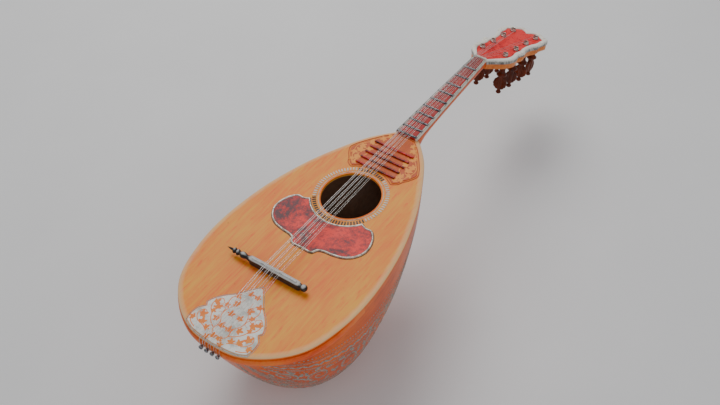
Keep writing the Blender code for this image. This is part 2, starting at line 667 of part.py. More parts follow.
def make_strings():
    """Eight strings from the hitch pins over the tail edge, saddle and nut to the pegs."""
    for number in range(8):
        pair = number // 2
        side = number % 2 - 0.5
        radius = STRING_RADII[pair]
        tail_x = PIN_X[pair] + 2 * side * STRING_BESIDE_PIN
        bridge_x = (pair - 1.5) * PAIR_AT_BRIDGE[0] + side * PAIR_AT_BRIDGE[1]
        nut_x = (pair - 1.5) * PAIR_AT_NUT[0] + side * PAIR_AT_NUT[1]
        peg = PEG_OF_STRING[number] - 1
        post_x = math.copysign(PEG_X - PEG_PROFILE[2][0] - radius - 1.5 * GAP, nut_x)
        end = HEAD @ (Vector((post_x, PEG_U[peg % 4], 0.6)) * MM)
        end = (LAYOUT.inverted() @ end) / MM
        tube(f"string_{number + 1}",
             [(tail_x, -327.8, -12.0), (tail_x, -327.8, -3.0), (tail_x, -327.0, -0.3),
              (tail_x, -325.3, 1.6), (bridge_x, BRIDGE_Y, STRING_AT_BRIDGE_Z),
              (nut_x, NUT_Y, STRING_AT_NUT_Z), tuple(end)], radius, "silver")


def main():
    for item in list(bpy.data.objects):
        bpy.data.objects.remove(item, do_unlink=True)
    make_body()
    make_overlays()
    make_neck()
    make_fingerboard()
    make_head()
    make_pegs()
    make_bridge()
    make_strings()
    bpy.context.view_layer.update()


main()
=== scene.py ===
# %% [markdown]
# # A bowl-back mandolin
# The frame holds the working model: fifty-nine plain solids, the turning pegs and the sliding bridge.
# This script keeps that frame and lays the fine surfaces over it: rounded edges, carved pegs,
# inlaid plates, smooth strings and a varnished bowl with its metal scrollwork.

# %% Load the frame
import json
import math

import bmesh
import bpy
import numpy as np
from mathutils import Matrix, Vector


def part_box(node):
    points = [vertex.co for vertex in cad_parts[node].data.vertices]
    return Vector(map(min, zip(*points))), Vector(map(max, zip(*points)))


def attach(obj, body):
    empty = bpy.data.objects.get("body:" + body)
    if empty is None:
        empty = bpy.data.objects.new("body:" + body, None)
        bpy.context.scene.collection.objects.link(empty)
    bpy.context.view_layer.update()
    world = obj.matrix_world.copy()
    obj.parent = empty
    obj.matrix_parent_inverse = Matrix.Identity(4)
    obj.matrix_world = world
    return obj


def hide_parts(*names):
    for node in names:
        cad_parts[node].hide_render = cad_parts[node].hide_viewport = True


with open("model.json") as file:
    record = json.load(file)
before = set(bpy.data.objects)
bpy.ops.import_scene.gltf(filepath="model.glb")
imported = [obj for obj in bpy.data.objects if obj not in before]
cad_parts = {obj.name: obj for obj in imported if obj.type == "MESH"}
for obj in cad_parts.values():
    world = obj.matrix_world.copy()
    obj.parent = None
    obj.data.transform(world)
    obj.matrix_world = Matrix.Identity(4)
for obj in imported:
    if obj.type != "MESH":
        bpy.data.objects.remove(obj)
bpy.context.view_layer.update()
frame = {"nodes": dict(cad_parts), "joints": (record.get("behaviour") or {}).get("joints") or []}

# %% [markdown]
# ## One drawing for every piece
# A luthier draws the instrument from the neck joint: x across, y along the neck, z up from the
# soundboard, in millimetres. The head has its own drawing plane, leaning back from the nut.
# Two functions carry points from either drawing into the frame, whose soundboard says where
# the neck joint is.

# %% From the drawing to the frame
MM = 0.001
DECK_LOW, DECK_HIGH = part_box("soundboard")
JOINT = np.array([0.0, DECK_HIGH.y, DECK_HIGH.z])
BODY_LENGTH = (DECK_HIGH.y - DECK_LOW.y) / MM
BODY_HALF = DECK_HIGH.x / MM
HEAD_START = (0.0, 146.5, 2.3)
HEAD_AXIS = np.array(frame["joints"][0]["axis"])
TILT = math.asin(HEAD_AXIS[1])


def points_of(x, y, z):
    """Points from coordinates: each is a number or an array, stretched to the others' size."""
    return np.stack(np.broadcast_arrays(x, y, z), axis=-1)


def on_deck(points):
    """Frame place of drawing points: the joint's place plus the drawing's millimetres."""
    return JOINT + np.asarray(points, float) * MM


def on_head(points):
    """Frame place of head points (x, u, h): u runs along the leaning head and h stands up from it."""
    x, u, h = np.moveaxis(np.asarray(points, float), -1, 0)
    y = HEAD_START[1] + u * math.cos(TILT) + h * math.sin(TILT)
    z = HEAD_START[2] - u * math.sin(TILT) + h * math.cos(TILT)
    return on_deck(points_of(x, y, z))


print("body", round(BODY_LENGTH, 1), "x", round(2 * BODY_HALF, 1), "mm")
print("head leans", round(math.degrees(TILT), 1), "degrees")

# %% [markdown]
# ## Outlines
# Every curved outline is a smooth curve through a few points. A cubic joins each two points,
# and its slope at a point is a mean of the two chords there, so the curve never bulges.
# A symmetric piece is drawn as a half, from the middle line round to the middle line.

# %% Curve helpers
def curve_through(points, steps):
    """Cubic curve through the points: chord slopes weighted by the roots of the spans' lengths."""
    pts = np.array(points, float)
    knots = np.concatenate([[0.0], np.cumsum(np.sqrt(np.linalg.norm(np.diff(pts, axis=0), axis=1)))])
    span = np.diff(knots)[:, None]
    chord = np.diff(pts, axis=0) / span
    inner = (chord[:-1] * span[1:] + chord[1:] * span[:-1]) / (span[1:] + span[:-1])
    slope = np.vstack([chord[:1], inner, chord[-1:]])
    t = np.linspace(0.0, 1.0, steps, endpoint=False)[None, :, None]
    start, end = pts[:-1, None], pts[1:, None]
    rows = ((2 * t**3 - 3 * t**2 + 1) * start + (t**3 - 2 * t**2 + t) * (span * slope[:-1])[:, None]
            + (3 * t**2 - 2 * t**3) * end + (t**3 - t**2) * (span * slope[1:])[:, None])
    return np.vstack([rows.reshape(-1, pts.shape[1]), pts[-1:]])


def joined(*runs):
    """One line from runs that each start where the last one ended."""
    return np.vstack([runs[0]] + [run[1:] for run in runs[1:]])


def mirrored(half):
    """Closed loop from a half at +x: the half, then its mirror image back to the start."""
    left = half[::-1] * (-1, 1)
    left = left[1:] if abs(left[0][0]) < 1e-6 else left
    left = left[:-1] if abs(left[-1][0]) < 1e-6 else left
    return np.vstack([half, left])


def through_middle(half, steps):
    """Half line that crosses the middle line squarely, because its mirror image guides the last span."""
    whole = list(half) + [(-x, y) for x, y in half[-2::-1]]
    return curve_through(whole, steps)[:steps * (len(half) - 1) + 1]


def inward_normals(loop):
    """Mean unit normal at each point of a closed loop, pointing into it."""
    ahead = np.roll(loop, -1, axis=0) - loop
    ahead /= np.linalg.norm(ahead, axis=1)[:, None]
    side = np.stack([-ahead[:, 1], ahead[:, 0]], axis=1)
    area = np.sum(loop[:, 0] * np.roll(loop[:, 1], -1) - np.roll(loop[:, 0], -1) * loop[:, 1])
    mean = side + np.roll(side, 1, axis=0)
    mean /= np.linalg.norm(mean, axis=1)[:, None]
    stretch = 1.0 / np.maximum(np.sum(mean * side, axis=1), 0.75)
    return np.sign(area) * mean * stretch[:, None]


def moved_in(loop, distance):
    """Closed loop moved inwards by the distance along its mean normals."""
    return loop + inward_normals(loop) * distance


def distance_inside(points, loop):
    """Shortest distance from points to the segments of a closed loop."""
    start, end = loop, np.roll(loop, -1, axis=0)
    step = end - start
    gap = points[:, None] - start[None]
    t = np.clip(np.sum(gap * step, axis=2) / np.maximum(np.sum(step * step, axis=1), 1e-9), 0, 1)
    return np.min(np.linalg.norm(gap - t[..., None] * step, axis=2), axis=1)


def inset(loop, distance):
    """Moved-in loop without the points that a sharp corner would throw back across the line."""
    moved = moved_in(loop, distance)
    return moved[distance_inside(moved, loop) > 0.97 * distance]


def around(centre, radius, angle):
    """Plan points about a centre: radius times the angle's cosine and sine."""
    return np.stack([centre[0] + radius * np.cos(angle), centre[1] + radius * np.sin(angle)], axis=-1)


def lifted(plan, z):
    """Plan points at a height."""
    return points_of(plan[..., 0], plan[..., 1], z)


def rectangle(half, low, high):
    """Plan rectangle across the middle line, from y = low to y = high."""
    return np.array([(-half, low), (half, low), (half, high), (-half, high)])


# %% The body's plan and the bowl's depth
BODY_EDGE = [(13.5, 0), (26, -12), (38, -26), (58, -60), (74, -95), (89, -145), (96, -202),
             (93, -242), (81.5, -280), (60, -305), (30, -322), (0, -325.5)]
KEEL = [(0, 30), (60, 66), (120, 111), (170, 142), (215, 153), (250, 141), (285, 104), (310, 53), (323, 0)]
DEEPEST_Y = -215.0
SECTION_POWER = 2.35
RIM_INSET = 2.5
HOLE_CENTRE = np.array([0.0, -105.2])
HOLE_RADIUS = 31.8
BODY_SIDE = through_middle(BODY_EDGE, 14)
BODY_LOOP = mirrored(BODY_SIDE)
KEEL_LINE = curve_through(KEEL, 14)


def bowl_half_width(y):
    """Half the bowl's width at its rim: the soundboard's, drawn in by the overhang."""
    return (np.interp(-y / (1 - RIM_INSET / BODY_LENGTH), -BODY_SIDE[:, 1], BODY_SIDE[:, 0])
            * (1 - RIM_INSET / BODY_HALF))


def bowl_height(x, y):
    """Outer face of the bowl: depth times the root of one minus (x over half width) to a power."""
    across = np.clip(np.abs(x) / np.maximum(bowl_half_width(y), 1e-6), 0.0, 1.0)
    depth = np.interp(-y, KEEL_LINE[:, 0], KEEL_LINE[:, 1])
    return -depth * (1 - across**SECTION_POWER) ** (1 / SECTION_POWER)


print("bowl is", round(-float(bowl_height(0.0, DEEPEST_Y)), 1), "mm deep")

# %% [markdown]
# ## From arrays to meshes
# Each new piece is worked out as an array of points, row by row, and joined into four-sided
# faces by counting alone. Four shapes cover the instrument: a grid wrapped round into a tube,
# a turned piece, a slab cut to an outline, and a thin strip laid along a line.

# %% Faces of a grid
def grid_faces(rows, columns, wrap_rows=False):
    """Faces of a grid whose columns run round: corner numbers (row, column) counted along rows."""
    row = np.arange(rows if wrap_rows else rows - 1)[:, None]
    column = np.arange(columns)[None, :]
    after = (column + 1) % columns
    below = (row + 1) % rows
    quads = np.stack([row * columns + column, row * columns + after,
                      below * columns + after, below * columns + column], axis=-1)
    return quads.reshape(-1, 4).tolist()


def tube_parts(points, wrap_rows=False):
    """Corners and faces of a tube from its rings of points, with a flat face on each open end."""
    rows, columns = points.shape[:2]
    faces = grid_faces(rows, columns, wrap_rows)
    if not wrap_rows:
        faces += [list(range(columns)), list(range((rows - 1) * columns, rows * columns))]
    return points.reshape(-1, 3), faces


def slab_parts(loop, low, high, edge=0.0):
    """Corners and faces of an outline between two heights; its top edge is cut back by edge."""
    inner = moved_in(loop, edge) if edge else loop
    rings = [(loop, low), (loop, high - edge), (inner, high)] if edge else [(loop, low), (loop, high)]
    return tube_parts(np.stack([lifted(ring, z) for ring, z in rings]))


def together(parts):
    """One set of corners and faces from several, each set's numbers moved past the last one's."""
    corners, faces, count = [], [], 0
    for points, polygons in parts:
        corners.append(points)
        faces += [[index + count for index in polygon] for polygon in polygons]
        count += len(points)
    return np.vstack(corners), faces


# %% Sweeps and turned shapes
def swept(path, radius, sides, up=(0.0, 0.0, 1.0), flat=1.0):
    """Rings round a path: two directions square to it, times radius times cosine and sine."""
    path = np.asarray(path, float)
    along = np.gradient(path, axis=0)
    along /= np.linalg.norm(along, axis=1)[:, None]
    across = np.cross(along, np.asarray(up, float))
    across /= np.maximum(np.linalg.norm(across, axis=1), 1e-9)[:, None]
    over = np.cross(across, along)
    turn = np.linspace(0.0, 2 * math.pi, sides, endpoint=False)
    radius = np.broadcast_to(np.asarray(radius, float), (len(path),))[:, None, None]
    return (path[:, None] + radius * (across[:, None] * np.cos(turn)[None, :, None]
                                      + flat * over[:, None] * np.sin(turn)[None, :, None]))


def lathed(profile, sides):
    """Turned surface: every profile point (radius, place) carried round the axis; ends close to it."""
    profile = np.maximum(np.asarray(profile, float), (1e-3, -1e9))
    turn = np.linspace(0.0, 2 * math.pi, sides, endpoint=False)
    radius, place = profile[:, :1], profile[:, 1:]
    return points_of(radius * np.cos(turn), radius * np.sin(turn), place)


# %% From a mesh to a piece of the instrument
def make_piece(name, parts, material, body="instrument", nodes=(), place=on_deck, sharp=40):
    """Object from corners and faces: outward faces, smooth but for sharp edges, riding on a body."""
    corners, faces = parts
    mesh = bpy.data.meshes.new(name)
    mesh.from_pydata(place(corners).tolist(), [], faces)
    work = bmesh.new()
    work.from_mesh(mesh)
    bmesh.ops.recalc_face_normals(work, faces=work.faces)
    if work.calc_volume(signed=True) < 0:
        bmesh.ops.reverse_faces(work, faces=work.faces)
    work.to_mesh(mesh)
    work.free()
    mesh.shade_smooth()
    mesh.set_sharp_from_angle(angle=math.radians(sharp))
    mesh.materials.append(material)
    piece = bpy.data.objects.new(name, mesh)
    bpy.context.scene.collection.objects.link(piece)
    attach(piece, body)
    if nodes:
        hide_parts(*nodes)
    print(name, len(mesh.polygons), "faces")
    return piece


def add_field(piece, name, values):
    """Number for every corner of a mesh, which a material can read by name."""
    field = piece.data.attributes.new(name, "FLOAT", "POINT")
    field.data.foreach_set("value", np.asarray(values, dtype=np.float32))


# %% [markdown]
# ## Finishes
# A finish is a small network: a pattern in space, a ramp from pattern to colour, and a bump.
# The helper below adds one node, sets its inputs and returns it, so that each finish reads as
# a short recipe. Patterns use the instrument's own metres, so a grain line is as fine as wood's.

# %% Node helpers
DEPTH = 1.6


def deep(colour):
    """Colour pushed away from its own grey, because a bright room washes a varnished tone out."""
    grey = 0.3 * colour[0] + 0.5 * colour[1] + 0.2 * colour[2]
    return tuple(min(max(grey + (value - grey) * DEPTH, 0.25 * value), 1.0) for value in colour)


class Finish:
    """Material with its Principled shader and a few short ways to add nodes to it."""

    def __init__(self, name, roughness=0.4, metallic=0.0, coat=0.0):
        self.material = bpy.data.materials.new(name)
        self.material.use_nodes = True
        self.tree = self.material.node_tree
        self.shader = self.tree.nodes["Principled BSDF"]
        self.shader.inputs["Roughness"].default_value = roughness
        self.shader.inputs["Metallic"].default_value = metallic
        self.shader.inputs["Coat Weight"].default_value = coat
        self.shader.inputs["Specular IOR Level"].default_value = 0.22
        self.shader.inputs["Coat Roughness"].default_value = 0.12
        self.space = self.add("TexCoord").outputs["Object"]

    def add(self, kind, settings=None, **inputs):
        """New node of a kind; each input takes a number, a tuple or another node's output."""
        node = self.tree.nodes.new("ShaderNode" + kind)
        for key, value in (settings or {}).items():
            setattr(node, key, value)
        for key, value in inputs.items():
            by_number = key[0] == "i" and key[1:].isdigit()
            self.feed(node.inputs[int(key[1:]) if by_number else key], value)
        return node

    def feed(self, socket, value):
        """Give an input a number or a tuple, or link it to another node's output."""
        if isinstance(value, bpy.types.NodeSocket):
            self.tree.links.new(value, socket)
        else:
            socket.default_value = value

    def noise(self, scale, stretch=(1, 1, 1), detail=4.0, rough=0.55, distortion=0.0):
        """Cloudy pattern from 0 to 1, with its own scale along each axis."""
        spot = self.add("Mapping", Vector=self.space, Scale=stretch).outputs["Vector"]
        return self.add("TexNoise", Vector=spot, Scale=scale, Detail=detail, Roughness=rough,
                        Distortion=distortion).outputs["Fac"]

    def ramp(self, value, stops):
        """Colour for a number: the ramp's stops are (place, colour)."""
        node = self.add("ValToRGB", Fac=value)
        for index, (place, colour) in enumerate(stops):
            element = node.color_ramp.elements[index] if index < 2 else node.color_ramp.elements.new(place)
            element.position = place
            element.color = (*deep(colour), 1.0)
        return node.outputs["Color"]

    def window(self, value, low, high, out_low=0.0, out_high=1.0):
        """Number stretched from one range to another and held at its ends."""
        return self.add("MapRange", i0=value, i1=low, i2=high, i3=out_low, i4=out_high).outputs["Result"]

    def math(self, operation, first, second):
        """Sum, difference or product of two numbers."""
        return self.add("Math", {"operation": operation}, i0=first, i1=second).outputs["Value"]

    def times(self, first, second):
        """Product of two numbers."""
        return self.math("MULTIPLY", first, second)

    def plus(self, first, second, share=1.0):
        """First number plus a share of the second."""
        return self.math("ADD", first, self.times(second, share))

    def blend(self, broad, fine):
        """A little more than half of a broad pattern and the rest of a fine one."""
        return self.math("ADD", self.times(broad, 0.55), self.times(fine, 0.45))

    def mix(self, share, first, second):
        """Blend of two colours by a share from 0 to 1."""
        node = self.add("Mix", {"data_type": "RGBA"}, i0=share)
        for socket, value in ((node.inputs[6], first), (node.inputs[7], second)):
            self.feed(socket, (*deep(value), 1.0) if isinstance(value, tuple) else value)
        return node.outputs[2]

    def field(self, name):
        """Number stored on the mesh under this name."""
        return self.add("Attribute", {"attribute_name": name}).outputs["Fac"]

    def done(self, colour, rough=None, relief=None):
        """Material with its colour, its roughness and its relief: (height, depth in mm, strength)."""
        self.feed(self.shader.inputs["Base Color"], colour)
        if rough is not None:
            self.feed(self.shader.inputs["Roughness"], rough)
        if relief is not None:
            height, depth_mm, strength = relief
            bump = self.add("Bump", Height=height, Strength=strength, Distance=depth_mm * MM)
            self.feed(self.shader.inputs["Normal"], bump.outputs["Normal"])
        return self.material


# %% Spruce, the soundboard's wood
def spruce_finish():
    """Warm yellow-orange wood: long streaks, short red flecks, dark dents, and a pale edge that is a painted
    highlight of its rounding, broken by wear.
    """
    f = Finish("spruce_finish", coat=0.04)
    tone = f.ramp(f.noise(14, (1.4, 0.7, 1)), [(0.32, (0.88, 0.27, 0.06)), (0.52, (0.95, 0.36, 0.085)),
                                              (0.7, (0.97, 0.45, 0.12))])
    streak = f.noise(360, (1, 0.07, 1), 5, 0.65, 0.4)
    tone = f.mix(f.window(streak, 0.44, 0.64, 0, 0.65), tone, (0.98, 0.54, 0.20))
    fleck = f.noise(330, (1, 0.11, 1), 6, 0.72, 0.9)
    tone = f.mix(f.window(fleck, 0.53, 0.68, 0, 0.8), tone, (0.76, 0.17, 0.035))
    spots = f.add("TexVoronoi", Vector=f.space, Scale=120, Randomness=1.0).outputs["Distance"]
    rare = f.window(f.noise(28, detail=2), 0.58, 0.66)
    dent = f.times(f.window(spots, 0.0, 0.16, 1, 0), rare)
    tone = f.mix(f.times(dent, 0.75), tone, (0.30, 0.08, 0.03))
    # Painted highlight along the rounded edge, broken by wear: a cream band that fades out within about 8 mm
    # of the outline.
    edge_highlight_and_wear = f.plus(f.field("inside"), f.noise(240, (1, 0.4, 1), 5), 3.0)
    pale = f.window(edge_highlight_and_wear, 3.0, 8.0, 1, 0)
    tone = f.mix(f.times(pale, 0.8), tone, (0.98, 0.70, 0.50))
    under = f.window(f.field("inside"), 0.2, -0.4)
    return f.done(f.mix(under, tone, (0.72, 0.27, 0.08)), f.window(streak, 0.2, 0.8, 0.30, 0.46),
                  (f.math("SUBTRACT", streak, f.times(dent, 4.0)), 0.12, 0.5))


# %% Varnished woods
def varnish_finish(name, dark, middle, light, stretch, roughness=0.34, scale=300):
    """Varnished wood of three tones, with streaks along the given stretch and fine pores."""
    f = Finish(name, coat=0.06)
    cloud = f.noise(22, (1, 0.6, 1), 5)
    streak = f.noise(scale, stretch, 6, 0.62, 0.3)
    tone = f.ramp(f.blend(cloud, streak), [(0.33, dark), (0.5, middle), (0.68, light)])
    pore = f.noise(1500, stretch, 3)
    tone = f.mix(f.window(pore, 0.6, 0.75, 0, 0.35), tone, dark)
    return f.done(tone, f.window(cloud, 0.3, 0.7, roughness - 0.06, roughness + 0.12), (streak, 0.15, 0.45))


# %% The bowl's varnished outside and plain inside
def bowl_finish():
    """Deep orange varnish over long streaks outside, and dry grey-brown wood on the inner face."""
    f = Finish("bowl_finish", coat=0.08)
    cloud = f.noise(22, (1, 0.6, 1), 5)
    streak = f.noise(300, (1, 0.08, 1), 6, 0.62, 0.3)
    blend = f.blend(cloud, streak)
    outside = f.ramp(blend, [(0.33, (0.36, 0.085, 0.014)), (0.5, (0.58, 0.17, 0.025)),
                             (0.68, (0.74, 0.26, 0.05))])
    stain = f.noise(700, (1, 0.2, 1), 5, 0.7)
    outside = f.mix(f.window(stain, 0.58, 0.72, 0, 0.5), outside, (0.16, 0.05, 0.02))
    inside = f.ramp(blend, [(0.35, (0.16, 0.10, 0.075)), (0.65, (0.30, 0.19, 0.14))])
    return f.done(f.mix(f.field("inner"), outside, inside),
                  f.window(f.field("inner"), 0.0, 1.0, 0.32, 0.7), (streak, 0.15, 0.45))


# %% Blackened wood with a worn top
def black_wear_and_highlight_finish():
    """Black wood whose upper side is pale silvery grey, partly rubbed and partly a painted highlight, with
    black scratches left.
    """
    f = Finish("bridge_wear_and_highlight_finish", roughness=0.36, coat=0.1)
    grain = f.noise(380, (0.35, 1, 1), 6, 0.68, 0.5)
    tone = f.ramp(grain, [(0.4, (0.012, 0.012, 0.013)), (0.6, (0.05, 0.05, 0.052)),
                          (0.75, (0.20, 0.20, 0.20))])
    # Painted highlight with wear: the bar's top, picked out by height, turns pale silvery grey.
    top = f.plus(f.field("height"), grain, 2.0)
    tone = f.mix(f.window(top, 9.7, 10.6, 0, 0.9), tone, (0.60, 0.60, 0.585))
    return f.done(tone, f.window(grain, 0.3, 0.7, 0.28, 0.5), (grain, 0.2, 0.5))


# %% White edging with a grey, streaked side
def edging_finish():
    """White over its top, and grey down its side in dark and light streaks, more so lower down."""
    f = Finish("edging_finish", roughness=0.34, coat=0.1)
    stain = f.noise(110, detail=6, rough=0.65, distortion=0.5)
    streaks = f.noise(420, (1, 1, 0.25), 5, 0.7, 0.4)
    tone = f.ramp(stain, [(0.34, (0.74, 0.72, 0.66)), (0.5, (0.95, 0.93, 0.87))])
    low = f.plus(f.field("height"), streaks, 2.2)
    side = f.window(low, -0.2, -2.2, 0, 0.9)
    tone = f.mix(side, tone, f.ramp(streaks, [(0.4, (0.06, 0.06, 0.058)), (0.62, (0.50, 0.49, 0.46))]))
    return f.done(tone, f.window(streaks, 0.3, 0.7, 0.3, 0.5), (f.times(streaks, -1.0), 0.08, 0.35))


# %% Red shell, red board and red panel
def shell_finish(name, dark, middle, light, scale, scuff=0.0):
    """Mottled red: soft dark clouds over bright red, with small light flecks and worn scuffs."""
    f = Finish(name, coat=0.08)
    cloud = f.noise(scale, detail=3, rough=0.6, distortion=0.6)
    speck = f.noise(scale * 7, detail=5, rough=0.7, distortion=0.5)
    tone = f.ramp(f.blend(cloud, speck), [(0.42, dark), (0.5, middle), (0.59, light)])
    if scuff:
        mark = f.noise(scale * 12, (1, 0.5, 1), 6, 0.8, 1.2)
        tone = f.mix(f.window(mark, 0.6, 0.7, 0, scuff), tone, (0.12, 0.08, 0.09))
    return f.done(tone, f.window(speck, 0.3, 0.7, 0.22, 0.42), (speck, 0.06, 0.3))


# %% Ivory, pearl and bone
def ivory_finish(name, light, worn, dirt, dirt_share, scale=90):
    """White with grey-brown worn patches: broad stains, small pits and dirt that gathers in the pits."""
    f = Finish(name, coat=0.05)
    stain = f.noise(scale, detail=6, rough=0.65, distortion=0.5)
    tone = f.ramp(stain, [(0.36, worn), (0.52, light), (0.8, light)])
    pit = f.noise(scale * 9, (1, 1, 1), 5, 0.7, 0.6)
    tone = f.mix(f.window(pit, 0.56, 0.7, 0, dirt_share), tone, dirt)
    return f.done(tone, f.window(pit, 0.3, 0.7, 0.28, 0.5), (f.times(pit, -1.0), 0.15, 0.5))


# %% Metals
def metal_finish(name, bright, dull, roughness, scale=500, metallic=1.0):
    """Worn metal: bright where it is rubbed, dull in small hammered hollows."""
    f = Finish(name, metallic=metallic)
    mark = f.noise(scale, detail=6, rough=0.7, distortion=0.8)
    return f.done(f.ramp(mark, [(0.38, dull), (0.56, bright)]),
                  f.window(mark, 0.3, 0.7, roughness + 0.2, roughness), (mark, 0.12, 0.5))


def wound_finish(name, pitch_mm):
    """Silver wire with a fine wrap: bright bands across the string at the winding's pitch."""
    f = Finish(name, roughness=0.28, metallic=1.0)
    band = f.add("TexWave", {"bands_direction": "Y"}, Vector=f.space, Scale=0.314 / (pitch_mm * MM) / 2,
                 Distortion=0.0).outputs["Fac"]
    return f.done(f.ramp(band, [(0.1, (0.66, 0.65, 0.63)), (0.7, (0.86, 0.85, 0.83))]),
                  relief=(band, 0.08, 0.8))


# %% Make the finishes
SPRUCE = spruce_finish()
BOWL = bowl_finish()
CLASP = varnish_finish("clasp_finish", (0.58, 0.14, 0.04), (0.76, 0.24, 0.09), (0.86, 0.36, 0.17),
                       (1, 0.2, 1))
NECK = varnish_finish("neck_finish", (0.40, 0.09, 0.014), (0.60, 0.17, 0.03), (0.74, 0.26, 0.06),
                      (1, 0.05, 1))
HEAD = varnish_finish("head_finish", (0.50, 0.19, 0.10), (0.66, 0.30, 0.18), (0.76, 0.42, 0.29),
                      (1, 0.2, 1))
INSIDE = varnish_finish("inside_finish", (0.10, 0.045, 0.025), (0.17, 0.08, 0.045), (0.24, 0.12, 0.07),
                        (1, 0.06, 1), roughness=0.6)
PEG_WOOD = varnish_finish("peg_finish", (0.045, 0.014, 0.009), (0.10, 0.032, 0.02), (0.20, 0.065, 0.04),
                          (1, 1, 0.3), roughness=0.38, scale=240)
BLACK_WOOD = varnish_finish("bridge_finish", (0.008, 0.008, 0.009), (0.025, 0.024, 0.026),
                            (0.12, 0.12, 0.125), (0.4, 1, 1), roughness=0.36, scale=420)
BLACK_WEAR_AND_HIGHLIGHT = black_wear_and_highlight_finish()
EDGING = edging_finish()
SHELL = shell_finish("shell_finish", (0.07, 0.02, 0.026), (0.42, 0.035, 0.028), (0.88, 0.13, 0.08), 38)
PANEL = shell_finish("panel_finish", (0.46, 0.05, 0.055), (0.74, 0.11, 0.11), (0.86, 0.19, 0.18), 60, 0.75)
BOARD = varnish_finish("board_finish", (0.14, 0.012, 0.012), (0.34, 0.04, 0.035), (0.55, 0.11, 0.09),
                       (1, 0.07, 1), roughness=0.3, scale=620)
BAR_RED = shell_finish("bar_finish", (0.02, 0.01, 0.01), (0.22, 0.015, 0.015), (0.62, 0.03, 0.03), 70)
IVORY = ivory_finish("ivory_finish", (0.90, 0.87, 0.80), (0.62, 0.60, 0.54), (0.20, 0.19, 0.17), 0.5)
BINDING = ivory_finish("binding_finish", (0.80, 0.77, 0.70), (0.50, 0.49, 0.45), (0.22, 0.21, 0.19), 0.6,
                       scale=140)
PEARL = ivory_finish("pearl_finish", (0.92, 0.91, 0.87), (0.52, 0.53, 0.50), (0.34, 0.33, 0.30), 0.6, 60)
BONE = ivory_finish("bone_finish", (0.70, 0.70, 0.69), (0.36, 0.36, 0.36), (0.08, 0.08, 0.08), 0.8, 160)
TERRA = varnish_finish("terracotta_finish", (0.38, 0.10, 0.05), (0.50, 0.16, 0.08), (0.60, 0.22, 0.12),
                       (1, 0.3, 1), roughness=0.38)
VINE = varnish_finish("vine_finish", (0.86, 0.34, 0.10), (0.93, 0.42, 0.15), (0.95, 0.50, 0.22), (1, 0.3, 1))
FLOWER = varnish_finish("flower_finish", (0.72, 0.22, 0.05), (0.84, 0.30, 0.08), (0.90, 0.40, 0.14),
                        (1, 0.3, 1))
SILVER = metal_finish("silver_finish", (0.84, 0.83, 0.80), (0.50, 0.49, 0.46), 0.24)
WORN_SILVER = metal_finish("worn_silver_finish", (0.82, 0.81, 0.76), (0.24, 0.23, 0.20), 0.34, 260, 0.75)
SCROLL = metal_finish("scroll_finish", (0.50, 0.49, 0.46), (0.20, 0.18, 0.15), 0.4, 700, 0.5)
STEEL = metal_finish("steel_finish", (0.66, 0.65, 0.62), (0.26, 0.23, 0.20), 0.32, 420)
FRET_METAL = metal_finish("fret_finish", (0.50, 0.50, 0.52), (0.05, 0.05, 0.06), 0.3, 420)
PIN_METAL = metal_finish("pin_finish", (0.34, 0.34, 0.35), (0.04, 0.04, 0.045), 0.3, 380)
WOUND = wound_finish("wound_finish", 0.5)
print(len(bpy.data.materials), "materials")

# %% [markdown]
# ## Soundboard
# The soundboard is a thin plate with a round hole and a softly rounded edge, pale with a painted highlight
# and some wear. It is one
# closed surface: a profile goes up the hole's wall, out over the top, round the edge and back
# underneath, and every point of it slides from the hole's circle to the body's outline.

# %% Soundboard surface
EDGE_REACH = 5.0
EDGE_DROP = 2.3
DECK_THICK = (DECK_HIGH.z - DECK_LOW.z) / MM


def outline_towards(loop, centre, count):
    """Points of a loop spaced evenly by their direction from a centre."""
    reach = loop - centre
    angle = np.unwrap(np.arctan2(reach[:, 1], reach[:, 0]))
    order = np.argsort(angle)
    angle, spots = angle[order], loop[order]
    wanted = np.linspace(0, 2 * math.pi, count, endpoint=False) + angle[0]
    wrapped = np.append(angle, angle[0] + 2 * math.pi)
    closed = np.vstack([spots, spots[:1]])
    return np.stack([np.interp(wanted, wrapped, closed[:, axis]) for axis in (0, 1)], axis=1)


def soundboard_surface(count=420):
    """Rows from hole to edge: inner circle plus a share of the way out, then a quarter round edge."""
    dense = np.vstack([BODY_LOOP, np.stack([np.linspace(-13, 13, 14), np.zeros(14)], axis=1)])
    edge = outline_towards(dense, HOLE_CENTRE, count)
    way = edge - HOLE_CENTRE
    length = np.linalg.norm(way, axis=1)[:, None]
    way = way / length
    quarter = np.linspace(0, math.pi / 2, 9)
    rows = [(0, 0.6, -DECK_THICK), (0, 0.0, -DECK_THICK + 0.4), (0, 0.0, -0.5), (0, 0.15, -0.15),
            (0, 0.5, 0.0)]
    rows += [(share, 0.0, 0.0) for share in np.linspace(0.03, 1.0, 26)]
    rows += [(1, EDGE_REACH * math.sin(a), EDGE_DROP * (math.cos(a) - 1)) for a in quarter[1:]]
    rows += [(1, EDGE_REACH - 0.2, -DECK_THICK), (0.5, 0.0, -DECK_THICK)]
    reach = length - HOLE_RADIUS - EDGE_REACH
    return np.stack([lifted(HOLE_CENTRE + way * (HOLE_RADIUS + share * reach + extra), z)
                     for share, extra, z in rows])


deck_points = soundboard_surface()
soundboard = make_piece("soundboard_top", tube_parts(deck_points, wrap_rows=True), SPRUCE,
                        nodes=["soundboard"])
flat_points = deck_points.reshape(-1, 3)
inside = distance_inside(flat_points[:, :2], BODY_LOOP)
inside = np.where(flat_points[:, 2] < -0.55 * DECK_THICK, -1.0, inside)
add_field(soundboard, "inside", inside)

# %% [markdown]
# ## Bowl
# The back is built like a boat: every cross-section is a rounded curve from rim to rim, and the
# keel gets deeper towards the tail. Rings run from the deepest point to the rim, and the same
# rings, moved in along the surface by the wall's thickness, make the inside.

